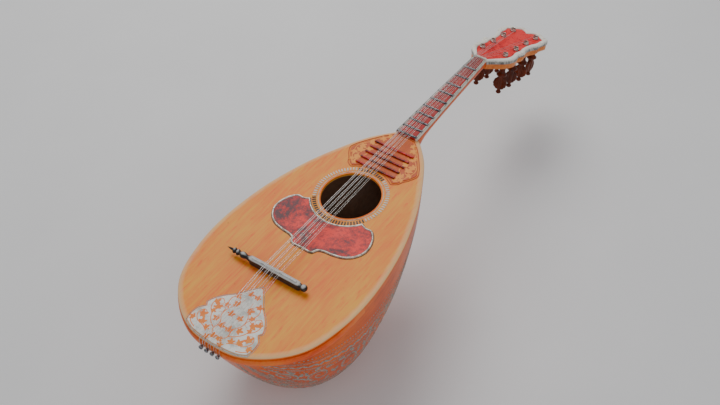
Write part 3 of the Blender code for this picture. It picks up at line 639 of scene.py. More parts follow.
# %% Bowl surface
WALL = 1.8
BOWL_TOP = -DECK_THICK - 0.25


def rim_steps(rings):
    """Highest level of each ring: a little lower, ring by ring, from the rim inwards."""
    return BOWL_TOP - 0.2 * np.arange(rings)[::-1, None]


def bowl_rings(count, rings):
    """Rings at shares of the way from the deepest point to the outline, at the bowl's height."""
    side = through_middle(BODY_EDGE, count) * (1 - RIM_INSET / BODY_HALF, 1 - RIM_INSET / BODY_LENGTH)
    mouth = np.linspace((0, -0.3), (side[0][0], -0.3), 7)
    outline = mirrored(joined(mouth, np.vstack([mouth[-1:], side[1:]])))
    share = (np.sin(np.linspace(0.0, math.pi / 2, rings + 1)[1:]) ** (2 / SECTION_POWER))[:, None]
    x = outline[:, 0] * share
    y = DEEPEST_Y + (outline[:, 1] - DEEPEST_Y) * share
    return points_of(x, y, np.minimum(bowl_height(x, y), rim_steps(rings)))


def grid_normals(points):
    """Unit normals of a grid: the cross product of its steps along columns and rows."""
    around = np.roll(points, -1, axis=1) - np.roll(points, 1, axis=1)
    outward = np.gradient(points, axis=0)
    normal = np.cross(around, outward)
    normal /= np.maximum(np.linalg.norm(normal, axis=2), 1e-9)[..., None]
    return normal * np.sign(-np.mean(normal[: len(points) // 2, :, 2]))


outer = bowl_rings(8, 40)
normals = grid_normals(outer)
inner = outer - normals * WALL
inner[..., 2] = np.minimum(inner[..., 2], rim_steps(len(outer)))
inner[-1, :, :2] = outer[-1, :, :2] + inward_normals(outer[-1, :, :2]) * WALL
shell = np.concatenate([outer, inner[::-1]])
bowl = make_piece("bowl_shell", tube_parts(shell), BOWL, nodes=["bowl_back"], sharp=50)
add_field(bowl, "inner", np.repeat([0.0, 1.0], outer.shape[0] * outer.shape[1]))

# %% [markdown]
# ## Clasp round the tail
# The clasp is a strip of the same wood bent round the tail below the soundboard. It stands
# proud with a soft, rounded lip, leaves a shadow groove above it, and thins out on both sides.

# %% Clasp surface
CLASP_TOP, CLASP_BOTTOM, CLASP_START, CLASP_TAPER = -4.8, -13.0, -210.0, 45.0


def clasp_surface():
    """Rounded section carried round the tail; its outward reach fades to nothing at both ends."""
    loop = mirrored(through_middle(BODY_EDGE, 10))
    normal = inward_normals(loop)
    chosen = loop[:, 1] < CLASP_START
    loop, normal = loop[chosen], normal[chosen]
    run = np.clip((CLASP_START - loop[:, 1]) / CLASP_TAPER, 0, 1)
    run = run * run * (3 - 2 * run)
    turn = np.linspace(-math.pi / 2, math.pi / 2, 9)
    middle, half = (CLASP_TOP + CLASP_BOTTOM) / 2, (CLASP_TOP - CLASP_BOTTOM) / 2
    reach = np.concatenate([np.cos(turn) ** 0.6 * 2.6 - 1.4, [-2.0, -2.0]])
    height = np.concatenate([middle + half * np.sin(turn), [CLASP_TOP, CLASP_BOTTOM]])
    out = np.where(reach > -2, reach[None] * run[:, None] - 1.9 * (1 - run[:, None]), -2.0)
    spot = loop[:, None] - normal[:, None] * out[..., None]
    return lifted(spot, height)


make_piece("clasp_strip", tube_parts(clasp_surface()), CLASP, nodes=["tail_clasp"])

# %% [markdown]
# ## Hitch pins
# Four small metal pins stand in the tail. Each is turned like a nail with a domed head and a
# waist, and the strings loop round that waist.

# %% Hitch pins
PIN_X = (-10.5, -3.5, 3.5, 10.5)
PIN_Z = -8.9
PIN_PROFILE = [(0.0, -331.0), (0.9, -330.95), (1.7, -330.6), (2.25, -329.9), (2.3, -329.3), (2.0, -328.7),
               (1.45, -328.4), (1.25, -327.9), (1.25, -326.5), (1.25, -318.0), (0.6, -317.2)]

for number, x in enumerate(PIN_X, 1):
    rings = lathed(curve_through(PIN_PROFILE, 4), 32)
    lying = points_of(rings[..., 0] + x, rings[..., 2], rings[..., 1] + PIN_Z)
    make_piece(f"pin_{number}", tube_parts(lying), PIN_METAL, nodes=[f"hitch_pin_{number}"])

# %% [markdown]
# ## Neck
# The neck's back is half an ellipse everywhere. It is shallow enough for a thumb under the
# fingerboard and sweeps down into a heel where it meets the body.

# %% Neck surface
NECK_HALF_WIDTH = (13.3, 8.0)
NUT_Y = 146.0
NECK_DEPTHS = [(0, 30.0), (6, 23.5), (14, 17.2), (26, 14.2), (45, 12.8), (80, 12.1), (152, 12.0)]


def neck_half_width(y):
    """Half width: a straight taper from the joint to the nut."""
    return NECK_HALF_WIDTH[0] + (NECK_HALF_WIDTH[1] - NECK_HALF_WIDTH[0]) * np.asarray(y) / NUT_Y


def neck_surface():
    """Half-elliptic sections: width times cosine and depth times sine, cut by the head's slanted end."""
    line = curve_through(NECK_DEPTHS, 10)
    y, depth = np.maximum(line[:, 0], 0.3), line[:, 1]
    wide = neck_half_width(y)
    turn = np.linspace(0.0, math.pi, 33)
    x = np.cos(turn)[None] * wide[:, None]
    z = -np.sin(turn)[None] ** 0.94 * depth[:, None]
    flat = np.linspace(-1, 1, 9)[1:-1]
    x = np.concatenate([x, flat[None] * wide[:, None]], axis=1)
    z = np.concatenate([z, np.zeros((len(y), 7))], axis=1)
    slant = HEAD_START[1] - (HEAD_START[2] - z) * math.tan(TILT) + 1.7
    return points_of(x, np.minimum(y[:, None], slant), z)


make_piece("neck_shaft", tube_parts(neck_surface()), NECK, nodes=["neck"], sharp=35)

# %% [markdown]
# ## Head
# The head is a board of light wood with a thick white border round a red panel. The border is
# rounded over like a bead. Small curls with dark eyes bulge from it at four places, and the wood
# below is scalloped there.

# %% Head outlines
HEAD_SIDE = [(8, 2.1), (14, 9.5), (21, 17), (26, 25.5), (27.8, 37), (25.2, 49.3), (26.5, 58),
             (24.2, 68.4), (25.2, 80), (28.5, 89), (27.6, 98.4), (29.8, 110)]
HEAD_END = [(29.8, 110), (28.6, 115.6), (21, 119.5), (15.5, 124), (10.5, 126.6), (0, 118.9)]
PANEL_SIDE = [(6.2, 4.5), (13, 15), (20.5, 28), (21.5, 38), (19.6, 49.3), (20.8, 58),
              (19.4, 68), (20.2, 82), (23.6, 92), (23.6, 102), (24.6, 110)]
PANEL_END = [(24.6, 110), (18.5, 114), (10.2, 120.6), (0, 113.5)]
HEAD_MIDDLE = np.array([0.0, 62.0])
HEAD_LOOP = mirrored(joined(curve_through(HEAD_SIDE, 8), curve_through(HEAD_END, 8)))
PANEL_LOOP = mirrored(joined(curve_through(PANEL_SIDE, 8), curve_through(PANEL_END, 8)))


def by_angle(loop, angles):
    """Loop read at given directions from the head's middle, so that two loops can be matched."""
    reach = loop - HEAD_MIDDLE
    turn = np.arctan2(reach[:, 1], reach[:, 0])
    order = np.argsort(turn)
    turn, spots = turn[order], loop[order]
    turn = np.concatenate([turn[-1:] - 2 * math.pi, turn, turn[:1] + 2 * math.pi])
    spots = np.vstack([spots[-1:], spots, spots[:1]])
    return np.stack([np.interp(angles, turn, spots[:, axis]) for axis in (0, 1)], axis=1)


def border_surface():
    """Ring whose section goes up the outside, over a rounded top and down to the panel."""
    reach = np.vstack([HEAD_LOOP, PANEL_LOOP]) - HEAD_MIDDLE
    angles = np.sort(np.arctan2(reach[:, 1], reach[:, 0]))
    angles = angles[np.append(True, np.diff(angles) > 0.004)]
    outer, inner = by_angle(HEAD_LOOP, angles), by_angle(PANEL_LOOP, angles)
    turn = np.linspace(0, math.pi, 13)
    section = [(0.02, -6.0), (0.0, -5.6)]
    section += list(zip(0.5 - 0.5 * np.cos(turn), -1.9 + 1.9 * np.sin(turn) ** 0.75))
    section += [(1.0, -5.6), (0.98, -6.0)]
    return np.stack([lifted(outer + (inner - outer) * share, h) for share, h in section])


border_parts = tube_parts(border_surface(), wrap_rows=True)
border = make_piece("head_bead", border_parts, EDGING, nodes=["head_border"], place=on_head)
add_field(border, "height", border_parts[0][:, 2])

# %% Curls at the head's waists
CURLS = [(50.0, 2.5), (56.2, 3.1), (95.4, 3.0), (102.6, 2.5)]
CURL_PROFILE = [(0.42, -0.9), (0.42, 0.9), (0.52, 1.35), (0.72, 1.55), (0.92, 1.1), (1.0, 0.2), (1.0, -2.6)]
EYE_PROFILE = [(0.0, -1.0), (0.42, -1.0), (0.42, 1.0), (0.0, 1.0)]
SCALLOPS = (47.6, 52.0, 56.4, 60.8, 93.0, 97.4, 101.8, 106.2)


def head_reach(u):
    """Half width of the head at a height u along it."""
    side = curve_through(HEAD_SIDE, 8)
    return float(np.interp(u, side[:, 1], side[:, 0]))


def side_turned(side, u, size, profile, sides):
    """Turned bead that bulges from the head's side: radius times size, carried round the x direction."""
    rings = lathed(np.array(profile) * (size, 1.0), sides)
    x = side * (head_reach(u) + rings[..., 2] - 0.15)
    return tube_parts(points_of(x, u + rings[..., 0], rings[..., 1] - size + 0.25))


def lump_parts(side, u, size):
    """Rounded boss on the border's top, over a curl: a squat ball."""
    turn = np.linspace(0.02, math.pi - 0.02, 16)
    rings = lathed(np.stack([size * np.sin(turn), 0.8 * size * np.cos(turn)], axis=1), 28)
    x = side * (head_reach(u) - 0.2) + rings[..., 0]
    return tube_parts(points_of(x, u + rings[..., 1], rings[..., 2] - 1.2))


def scallop_parts(side, u):
    """Upright half-round rib in the wood below the border, where the head's side is scalloped."""
    rings = lathed([(1.6, -12.2), (2.1, -11.6), (2.1, -7.0), (1.8, -6.35)], 20)
    return tube_parts(rings + (side * (head_reach(u) - 2.2), u, 0.0))


places = [(side, u, size) for side in (-1, 1) for u, size in CURLS]
curl_set = together([part for side, u, size in places
                     for part in (side_turned(side, u, size, CURL_PROFILE, 28),
                                  lump_parts(side, u, size * 0.95))])
curls = make_piece("head_curls", curl_set, EDGING, place=on_head)
add_field(curls, "height", curl_set[0][:, 2] + 1.2)
ribs = [scallop_parts(side, u) for side in (-1, 1) for u in SCALLOPS]
make_piece("head_scallops", together(ribs), HEAD, place=on_head)
eyes = [side_turned(side, u, size, EYE_PROFILE, 18) for side, u, size in places]
make_piece("head_curl_eyes", together(eyes), BLACK_WOOD, place=on_head)

# %% [markdown]
# ## Tuning pegs
# A friction peg goes through the head from behind. Its shaft, collar, flat grip and end knob
# are turned and carved from one piece of wood. A metal sleeve lines the top that the string
# winds round. Each peg is made once and set down eight times, turned as the player left it.

# %% Peg shapes
PEG_X = 15.6
PEG_U = (32.0, 57.5, 82.7, 107.0)
PEG_TURNS = (25, 60, -10, 80, 20, 48, 5, 85)
SHAFT_PROFILE = [(0.0, 1.9), (2.1, 1.9), (2.1, -5.6), (3.1, -6.2), (3.9, -12.5), (3.5, -20), (4.2, -22.6),
                 (5.6, -23.7), (6.3, -24.6), (6.3, -25.8), (5.4, -26.8), (4.0, -27.8), (3.4, -29.6),
                 (3.0, -32), (2.4, -44.5), (1.8, -45.8), (2.6, -46.5), (3.2, -47.4), (3.0, -48.7),
                 (2.0, -49.7), (0.0, -50.2)]
SLEEVE_PROFILE = [(2.15, 1.4), (2.2, 2.4), (2.45, 2.6), (2.85, 2.5), (2.95, 2.1), (2.95, -5.5), (2.15, -5.5)]
GRIP_H = -36.8
GRIP_RADIUS = 8.4
GRIP_THICKNESS = 5.0


def grip_surface():
    """Flat rounded disc on edge; its rim has twelve shallow scallops, and its face a shallow dish."""
    tilt = np.linspace(0.04, math.pi - 0.04, 30)[:, None]
    turn = np.linspace(0, 2 * math.pi, 144, endpoint=False)[None]
    rim = GRIP_RADIUS - 0.55 + 0.55 * np.abs(np.cos(6 * turn)) ** 0.6
    radius = rim * np.sin(tilt) ** 0.5
    dish = 1 - 0.35 * np.exp(-((np.sin(tilt) ** 0.5 - 0.35) / 0.28) ** 2)
    thick = GRIP_THICKNESS / 2 * np.sign(np.cos(tilt)) * np.abs(np.cos(tilt)) ** 0.8 * dish
    return points_of(radius * np.cos(turn), thick, radius * np.sin(turn) + GRIP_H)


def peg_place(number):
    """Function that carries a peg's own points to where peg number stands on the head."""
    side = -1 if number <= 4 else 1
    u = PEG_U[(number - 1) % 4]
    turn = math.radians(PEG_TURNS[number - 1])

    def place(points):
        """Turn about the peg's axis, then move to its hole in the head."""
        x, y, h = points.T
        return on_head(points_of(side * PEG_X + x * math.cos(turn) - y * math.sin(turn),
                                 u + x * math.sin(turn) + y * math.cos(turn), h))

    return place


def winding_path(turns, radius, low, high, start):
    """Helix: it climbs from low to high while it turns, from a start angle."""
    t = np.linspace(0, 1, int(24 * turns) + 1)
    angle = start + 2 * math.pi * turns * t
    return points_of(radius * np.cos(angle), radius * np.sin(angle), low + (high - low) * t)


# %% Make the eight pegs
POST_RADIUS = 2.95
WINDING_TURNS = 1.75
PEG_OF_STRING = (1, 2, 3, 4, 8, 7, 6, 5)
STRING_RADII = (0.28, 0.25, 0.19, 0.16)
shaft_parts = tube_parts(lathed(SHAFT_PROFILE, 40))
grip_parts = tube_parts(grip_surface())
sleeve_parts = tube_parts(lathed(SLEEVE_PROFILE, 40), wrap_rows=True)

for number in range(1, 9):
    place = peg_place(number)
    gauge = STRING_RADII[PEG_OF_STRING.index(number) // 2]
    make_piece(f"peg_{number}_wood", together([shaft_parts, grip_parts]), PEG_WOOD,
               body=f"peg_{number}", nodes=[f"peg_{number}"], place=place, sharp=45)
    make_piece(f"peg_{number}_sleeve", sleeve_parts, STEEL, body=f"peg_{number}", place=place)
    start = math.radians(180 if number > 4 else 0) - math.radians(PEG_TURNS[number - 1])
    start -= WINDING_TURNS * 2 * math.pi
    coil = winding_path(WINDING_TURNS, POST_RADIUS + gauge * 0.85, -0.5, 0.6, start)
    make_piece(f"peg_{number}_winding", tube_parts(swept(coil, gauge, 10)), SILVER,
               body=f"peg_{number}", place=place)

# %% [markdown]
# ## Bridge
# The bridge is a low bar of black wood. One end is turned to a point with two beads, the other
# to a ball. Its top is pale under the strings, partly from wear and partly a painted highlight, and a thin
# bone saddle carries them.

# %% Bridge surface
BRIDGE_Y = -230.0
BRIDGE_AXIS_Z = 6.4
BRIDGE_BAR = (-30.5, 32.5)
SADDLE_FOOT_Z = 10.3
BRIDGE_TIP = [(0, -60.5), (0.7, -57.6), (1.3, -54.5), (1.5, -52.6), (3.0, -51.2), (2.9, -50.0), (2.0, -48.6),
              (2.4, -47.6), (3.3, -46.2), (2.7, -45.0), (1.9, -44), (2.5, -42.4), (3.4, -39.8), (2.9, -36.8),
              (2.3, -34.5), (2.5, -33.0), (2.8, -31.5), (2.8, -29)]
BRIDGE_BALL = [(2.8, 31), (2.8, 33), (2.2, 34.4), (2.6, 35.2), (3.4, 36.2), (3.6, 37.6), (3.3, 39.2),
               (2.4, 40.4), (1.2, 41.05), (0, 41.2)]


def turned_along_x(profile):
    """Turned end: the profile's radius carried round the bridge's long axis."""
    rings = lathed(curve_through(profile, 4), 36)
    return points_of(rings[..., 2], rings[..., 0] + BRIDGE_Y, rings[..., 1] + BRIDGE_AXIS_Z)


def bar_surface():
    """Bar: a rounded rectangle whose size swells from the ends, carried along x."""
    t = np.linspace(-1, 1, 61)
    x = np.interp(t, (-1, 1), BRIDGE_BAR)
    turn = np.linspace(0, 2 * math.pi, 56, endpoint=False)
    power = 0.34
    side = np.sign(np.cos(turn)) * np.abs(np.cos(turn)) ** power
    rise = np.sign(np.sin(turn)) * np.abs(np.sin(turn)) ** power
    ends = (1 - np.abs(t) ** 26 * 0.22)[:, None]
    y = BRIDGE_Y + 3.15 * side[None] * ends
    z = 5.15 + 4.83 * rise[None] * (1 - np.abs(t)[:, None] ** 26 * 0.12)
    return points_of(x[:, None], y, z)


bridge_parts = together([tube_parts(bar_surface()), tube_parts(turned_along_x(BRIDGE_TIP)),
                         tube_parts(turned_along_x(BRIDGE_BALL))])
bridge = make_piece("bridge_body", bridge_parts, BLACK_WEAR_AND_HIGHLIGHT, body="bridge", nodes=["bridge"])
add_field(bridge, "height", bridge_parts[0][:, 2])


def saddle_surface():
    """Saddle: a low half-round rib along the bridge's top."""
    x = np.linspace(-27, 29, 41)[:, None]
    turn = np.linspace(0, math.pi, 13)
    fade = 1 - 0.25 * np.abs(x / 30) ** 12
    return points_of(x, BRIDGE_Y + 1.1 * np.cos(turn), SADDLE_FOOT_Z + 0.8 * np.sin(turn) ** 0.6 * fade)


make_piece("saddle_rib", tube_parts(saddle_surface()), BONE, body="bridge", nodes=["bridge_saddle"])

# %% [markdown]
# ## Strings
# Eight metal strings run in four pairs from the pins, over the tail edge and the saddle, through
# the nut and up to the pegs. The two bass pairs are wound with fine wire. Each string bends
# softly where it turns over an edge, and ends in a loop round its pin.

# %% String paths
# Spacing of the pairs, and of the two strings in a pair.
PAIR_AT_BRIDGE = (6.13, 2.0)
PAIR_AT_NUT = (3.4, 1.5)
PIN_WAIST_Y = -327.3
LOOP_RADIUS = 2.1
NUT_TOP_Z = 5.62
SADDLE_TOP_Z = 11.42


def softened(corners, size, steps=7):
    """Path with each corner replaced by a parabola that starts and ends size before and after it."""
    corners = np.asarray(corners, float)
    rows = [corners[:1]]
    t = np.linspace(0, 1, steps)[:, None]
    for before, corner, after in zip(corners[:-2], corners[1:-1], corners[2:]):
        back, ahead = before - corner, after - corner
        first = corner + back / np.linalg.norm(back) * min(size, 0.45 * np.linalg.norm(back))
        last = corner + ahead / np.linalg.norm(ahead) * min(size, 0.45 * np.linalg.norm(ahead))
        rows.append((1 - t) ** 2 * first + 2 * t * (1 - t) * corner + t**2 * last)
    return np.vstack(rows + [corners[-1:]])


def string_path(number):
    """Pin, tail edge, saddle, nut and peg of one string, in drawing millimetres."""
    pair, side = number // 2, number % 2 - 0.5
    tail = PIN_X[pair] + 2 * LOOP_RADIUS * side
    bridge_x = (pair - 1.5) * PAIR_AT_BRIDGE[0] + side * PAIR_AT_BRIDGE[1]
    nut_x = (pair - 1.5) * PAIR_AT_NUT[0] + side * PAIR_AT_NUT[1]
    peg = PEG_OF_STRING[number] - 1
    post_x = math.copysign(PEG_X - POST_RADIUS - STRING_RADII[pair] * 0.85, nut_x)
    post = (on_head((post_x, PEG_U[peg % 4], 0.6)) - JOINT) / MM
    corners = [(tail, PIN_WAIST_Y, PIN_Z), (tail, PIN_WAIST_Y, -3.0), (tail, -326.7, -0.6),
               (tail, -325.0, 1.5), (bridge_x, BRIDGE_Y, SADDLE_TOP_Z + STRING_RADII[pair]),
               (nut_x, NUT_Y, NUT_TOP_Z + STRING_RADII[pair]), tuple(post)]
    return softened(corners, 1.6)


# %% Make the strings
for number in range(8):
    gauge = STRING_RADII[number // 2]
    finish = WOUND if number < 4 else SILVER
    make_piece(f"wire_{number + 1}", tube_parts(swept(string_path(number), gauge, 14, up=(1, 0, 0))), finish,
               nodes=[f"string_{number + 1}"])

# %% Loops round the pins
loops = []
for number in range(8):
    pair, side = number // 2, number % 2 - 0.5
    gauge = STRING_RADII[pair] * 0.9
    turn = np.linspace(0, math.pi, 19)
    ring = points_of(PIN_X[pair] + 2 * side * LOOP_RADIUS * np.cos(turn), PIN_WAIST_Y + 0.5 * side,
                     PIN_Z - LOOP_RADIUS * np.sin(turn))
    loops.append(tube_parts(swept(ring, gauge, 10, up=(0, 1, 0))))
make_piece("pin_loops", together(loops), SILVER)

# %% [markdown]
# ## Frets and nut
# A fret is a strip of metal with a rounded crown, pressed into the board so that the crown
# stands just proud. A black line lies on the board along each side of each one.

# %% Frets
FRET_SCALE = 330.0
FRET_COUNT = 10
LAST_FRET_Y = -2.5
BOARD_TOP = 4.0


def fret_y(number):
    """Each fret stands where the open length has shrunk by the twelfth root of two once more."""
    from_nut = FRET_SCALE * (1 - 2 ** (-number / 12))
    return LAST_FRET_Y + FRET_SCALE * (1 - 2 ** (-FRET_COUNT / 12)) - from_nut


def crown_parts(y, width, low, height, reach):
    """Rib across the board: a half-round crown whose ends are rounded down."""
    x = np.linspace(-1, 1, 25)
    turn = np.linspace(0, math.pi, 11)
    fade = np.sqrt(np.clip(1 - np.abs(x) ** 30, 0.12, 1))[:, None]
    across = y + width / 2 * np.cos(turn)[None] * (0.6 + 0.4 * fade)
    rise = low + height * np.sin(turn)[None] ** 0.7 * fade
    return tube_parts(points_of(reach * x[:, None], across, rise))


black_lines = []
for number in range(1, FRET_COUNT + 1):
    y = fret_y(number)
    reach = float(neck_half_width(y)) - 0.2
    crown = crown_parts(y, width=1.2, low=BOARD_TOP + 0.25, height=0.95, reach=reach)
    make_piece(f"crown_{number:02d}", crown, FRET_METAL, nodes=[f"fret_{number:02d}"])
    for side in (-1, 1):
        line = rectangle(reach, y + side * 0.6, y + side * 1.7)
        black_lines.append(slab_parts(line, BOARD_TOP + 0.02, BOARD_TOP + 0.12))
make_piece("fret_lines", together(black_lines), BLACK_WOOD)


def nut_parts():
    """Nut: a block with a rounded top that leans down towards the head."""
    half = float(neck_half_width(NUT_Y))
    x = np.linspace(-half, half, 61)[:, None]
    section = np.array([(-1.4, 0.3), (1.4, 0.3), (1.4, 4.0), (1.1, 4.9), (0.5, 5.35), (-0.2, 5.6),
                        (-0.9, 5.55), (-1.25, 5.3), (-1.4, 4.9)])
    return tube_parts(points_of(x, section[:, 0] + NUT_Y, section[:, 1]))


make_piece("nut_block", nut_parts(), IVORY, nodes=["nut"])

# %% Binding lines
def edge_line(offset, low, high, side):
    """Thin line that follows the board's edge at a distance inside it."""
    y = np.array([-4.0, 144.2])
    x = neck_half_width(y) - offset
    loop = np.array([(side * x[0], y[0]), (side * (x[0] - 0.5), y[0]), (side * (x[1] - 0.5), y[1]),
                     (side * x[1], y[1])])
    return slab_parts(loop, low, high)


lines = [edge_line(offset, BOARD_TOP - 0.1, BOARD_TOP + 0.07, side)
         for side in (-1, 1) for offset in (0.25, 1.7)]
make_piece("binding_lines", together(lines), BLACK_WOOD)

# %% [markdown]
# ## Rosette
# Short tiles stand like rays round the sound hole, with a fine white ring inside them. They are
# pale at the sides, and black where the ring meets the pickguard and the neck's plate.

# %% Rosette
ROSETTE = (36.4, 40.4)
RAYS = 78


def ray_parts(angle, width, low, high):
    """One tile: a short trapezium between the two radii, with its middle on the angle."""
    turn = angle + np.array([-1, 1, 1, -1]) * width / 2
    reach = np.repeat(ROSETTE, 2)
    return slab_parts(around(HOLE_CENTRE, reach, turn), low, high, 0.12)


def ring_parts(inner, outer, low, high, count=160):
    """Flat ring with rounded top edges between two radii."""
    middle, half = (inner + outer) / 2, (outer - inner) / 2
    turn = np.linspace(0, 2 * math.pi, count, endpoint=False)[:, None]
    section = np.array([(-half, low), (-half, high - 0.15), (-0.5 * half, high), (0.5 * half, high),
                        (half, high - 0.15), (half, low)])
    ring = around(HOLE_CENTRE, middle + section[None, :, 0], turn)
    return tube_parts(lifted(ring, section[:, 1]), wrap_rows=True)


spacing = 2 * math.pi / RAYS
tile = 0.46 * spacing
angles = spacing * (np.arange(RAYS) + 0.5)
near_guard = np.abs(angles - 1.5 * math.pi) < 0.98
near_neck = np.abs(angles - 0.5 * math.pi) < 0.42
dark = near_guard | near_neck
pale_rays, dark_rays = [together([ray_parts(angle, tile, low=0.05, high=0.62) for angle in chosen])
                        for chosen in (angles[~dark], angles[dark])]
make_piece("rosette_rays", pale_rays, BINDING, nodes=["rosette"])
make_piece("rosette_dark_rays", dark_rays, BLACK_WOOD)
make_piece("rosette_ring", ring_parts(33.9, 34.5, low=0.02, high=0.5), BONE)
make_piece("hole_ring", ring_parts(31.9, 32.6, low=0.02, high=0.4), CLASP)

# %% [markdown]
# ## Pickguard
# The pickguard is a sheet of mottled red shell under the strings. A raised, rounded silver bead
# runs round it, worn white on its crest, and a thin black strip outside the bead is a painted shadow.

# %% Pickguard outlines
GUARD_HORN = (33.4, -130.0)
GUARD_SIDE = [GUARD_HORN, (39.5, -133), (47.5, -133.2), (54, -139.3), (58.6, -149.8), (58.9, -160.4),
              (53.6, -170.3), (45.5, -176.6), (34, -179.9), (23.4, -181)]
GUARD_FOOT = [(23.4, -181), (17, -183), (13, -188.6), (0, -189.1)]


def arc_to_middle(start, radius, steps):
    """Arc about the sound hole from the point nearest start to the middle line."""
    first = math.atan2(start[1] - HOLE_CENTRE[1], start[0] - HOLE_CENTRE[0])
    turn = np.linspace(first, math.copysign(math.pi / 2, first), steps + 1)
    return around(HOLE_CENTRE, radius, turn)


def bead_parts(loop, width, low, high, steps=9):
    """Rounded bead inside a closed loop: half a wave of height over its width."""
    turn = np.linspace(0, math.pi, steps)
    crest = low + 0.15 + (high - low - 0.15) * np.sin(turn) ** 0.8
    rows = [(0.0, low), *zip(0.5 - 0.5 * np.cos(turn), crest), (1.0, low)]
    inward = inward_normals(loop)
    rings = np.stack([lifted(loop + inward * width * share, z) for share, z in rows])
    return tube_parts(rings, wrap_rows=True)


top = arc_to_middle(GUARD_HORN, 41.9, 30)
guard = mirrored(joined(top[::-1], curve_through(GUARD_SIDE, 8), curve_through(GUARD_FOOT, 6)))
# Painted shadow: a thin black strip just outside the bead.
shadow = bead_parts(moved_in(guard, -0.5), width=0.9, low=0.02, high=0.2, steps=5)
make_piece("guard_shadow", shadow, BLACK_WOOD)
bead = bead_parts(guard, width=2.2, low=0.05, high=1.9)
make_piece("guard_bead", bead, WORN_SILVER, nodes=["pickguard_edge"])
sheet = slab_parts(inset(guard, 2.05), low=0.1, high=1.1, edge=0.2)
make_piece("guard_sheet", sheet, SHELL, nodes=["pickguard"])

# %% [markdown]
# ## Drawing the inlaid flowers
# The two plates carry vines: thin curling stems and lobed leaves, cut from light wood and laid
# into the plate, the same on both sides. Each leaf lies a hair higher than the last, so that two
# which overlap never share one surface. A stem is a strip that follows a curve and is fine at
# its tip. A leaf is a loop whose radius waves.

# %% Stems and leaves
STEM_WIDTH = 1.1
HAIR = 0.006


def stem_parts(points, width, low, high):
    """Strip along a curve: half the width to each side, which fades to a point at the end."""
    line = curve_through(points, 8)
    along = np.gradient(line, axis=0)
    along /= np.linalg.norm(along, axis=1)[:, None]
    side = np.stack([-along[:, 1], along[:, 0]], axis=1)
    t = np.linspace(0, 1, len(line))[:, None]
    half = width / 2 * (1 - 0.75 * t**3)
    rows = [lifted(line + side * half * way, z)
            for way, z in ((1, low), (0.9, high), (-0.9, high), (-1, low))]
    return tube_parts(np.stack(rows, axis=1))


def leaf_parts(x, y, size, direction, low, high):
    """Leaf: a loop about its foot whose radius swells along the leaf and waves into lobes."""
    turn = np.linspace(-math.pi, math.pi, 56, endpoint=False)
    body = np.clip(np.cos(turn / 2), 0, 1) ** 1.6
    radius = size * (0.14 + 0.86 * body * (0.74 + 0.26 * np.cos(6 * turn)))
    return slab_parts(around((x, y), radius, turn + direction), low, high)


def make_flowers(name, vines, leaves, material, foot, stem_top, leaf_top, swell):
    """Vines and leaves of one plate, each with its mirror image and each a hair above the last."""
    stems = [stem_parts(vine, STEM_WIDTH, foot, stem_top + HAIR * step) for step, vine in enumerate(vines)]
    blades = [leaf_parts(x, y, swell * size, way, foot, leaf_top + HAIR * step)
              for step, (x, y, size, way) in enumerate(leaves)]
    for kind, parts in (("vines", stems), ("leaves", blades)):
        halves = [(points * (side, 1, 1), faces) for points, faces in parts for side in (1, -1)]
        make_piece(f"{name}_{kind}", together(halves), material)


# %% [markdown]
# ## Tail plate
# A pale shell plate covers the tail below the bridge. A fine grey line runs round it, and
# orange vines climb from the tail edge in curls, with lobed leaves between the strings.

# %% Tail plate
TAIL_LEAF = [(0, -246), (9.5, -256.5), (18, -267), (25.5, -273.5), (32, -281), (36, -290), (34, -293.5)]
TAIL_LOBE = [(34, -293.5), (39, -299.5), (40.5, -309), (38.9, -317.2)]
TAIL_FOOT = [(38.9, -317.2), (28, -321.8), (0, -325.0)]
tail = mirrored(joined(*(curve_through(run, 8) for run in (TAIL_LEAF, TAIL_LOBE, TAIL_FOOT))))
line = bead_parts(tail, width=0.7, low=-1.0, high=0.6, steps=5)
make_piece("tail_line", line, BONE, nodes=["tail_ornament"])
make_piece("tail_plate", slab_parts(inset(tail, 1.7), low=-0.6, high=0.8, edge=0.15), PEARL)

vines = [
    [(3, -318), (9, -311), (8, -302), (13, -294), (12, -285), (7, -277), (4, -266)],
    [(9, -310), (16, -306), (22, -298), (21, -289), (15, -286), (14, -291), (18, -293)],
    [(13, -317), (20, -313), (29, -311), (34, -304), (31, -298), (26, -300), (28, -305)],
    [(22, -298), (28, -292), (29, -284), (24, -279), (20, -282), (22, -286)],
    [(12, -285), (17, -279), (17, -272), (12, -268), (9, -272), (12, -275)],
    [(26, -319), (33, -316), (37, -311), (36, -306)],
]
leaves = [(7, -277, 5.2, 0.4), (21, -290, 5.6, 0.9), (13, -300, 5.0, 0.2), (30, -304, 6.0, 2.4),
          (23, -311, 5.2, 1.2), (27, -286, 4.8, 1.9), (14, -270, 4.6, 1.9), (5, -305, 5.4, 1.8),
          (5, -290, 5.0, 1.3), (34, -311, 4.4, 0.2), (16, -314, 4.6, 2.0), (4, -262, 4.6, 1.5),
          (17, -283, 4.0, 2.6), (24, -294, 3.8, 3.4), (3, -318, 4.6, 1.2), (9, -322, 4.0, 1.9)]
make_flowers("tail", vines, leaves, FLOWER, foot=0.5, stem_top=0.83, leaf_top=0.875, swell=1.2)

# %% [markdown]
# ## Neck plate
# A terracotta plate fills the soundboard between the neck and the sound hole. Light vines with
# lobed leaves curl on it, and five slim bars in red and black cross it under the strings.

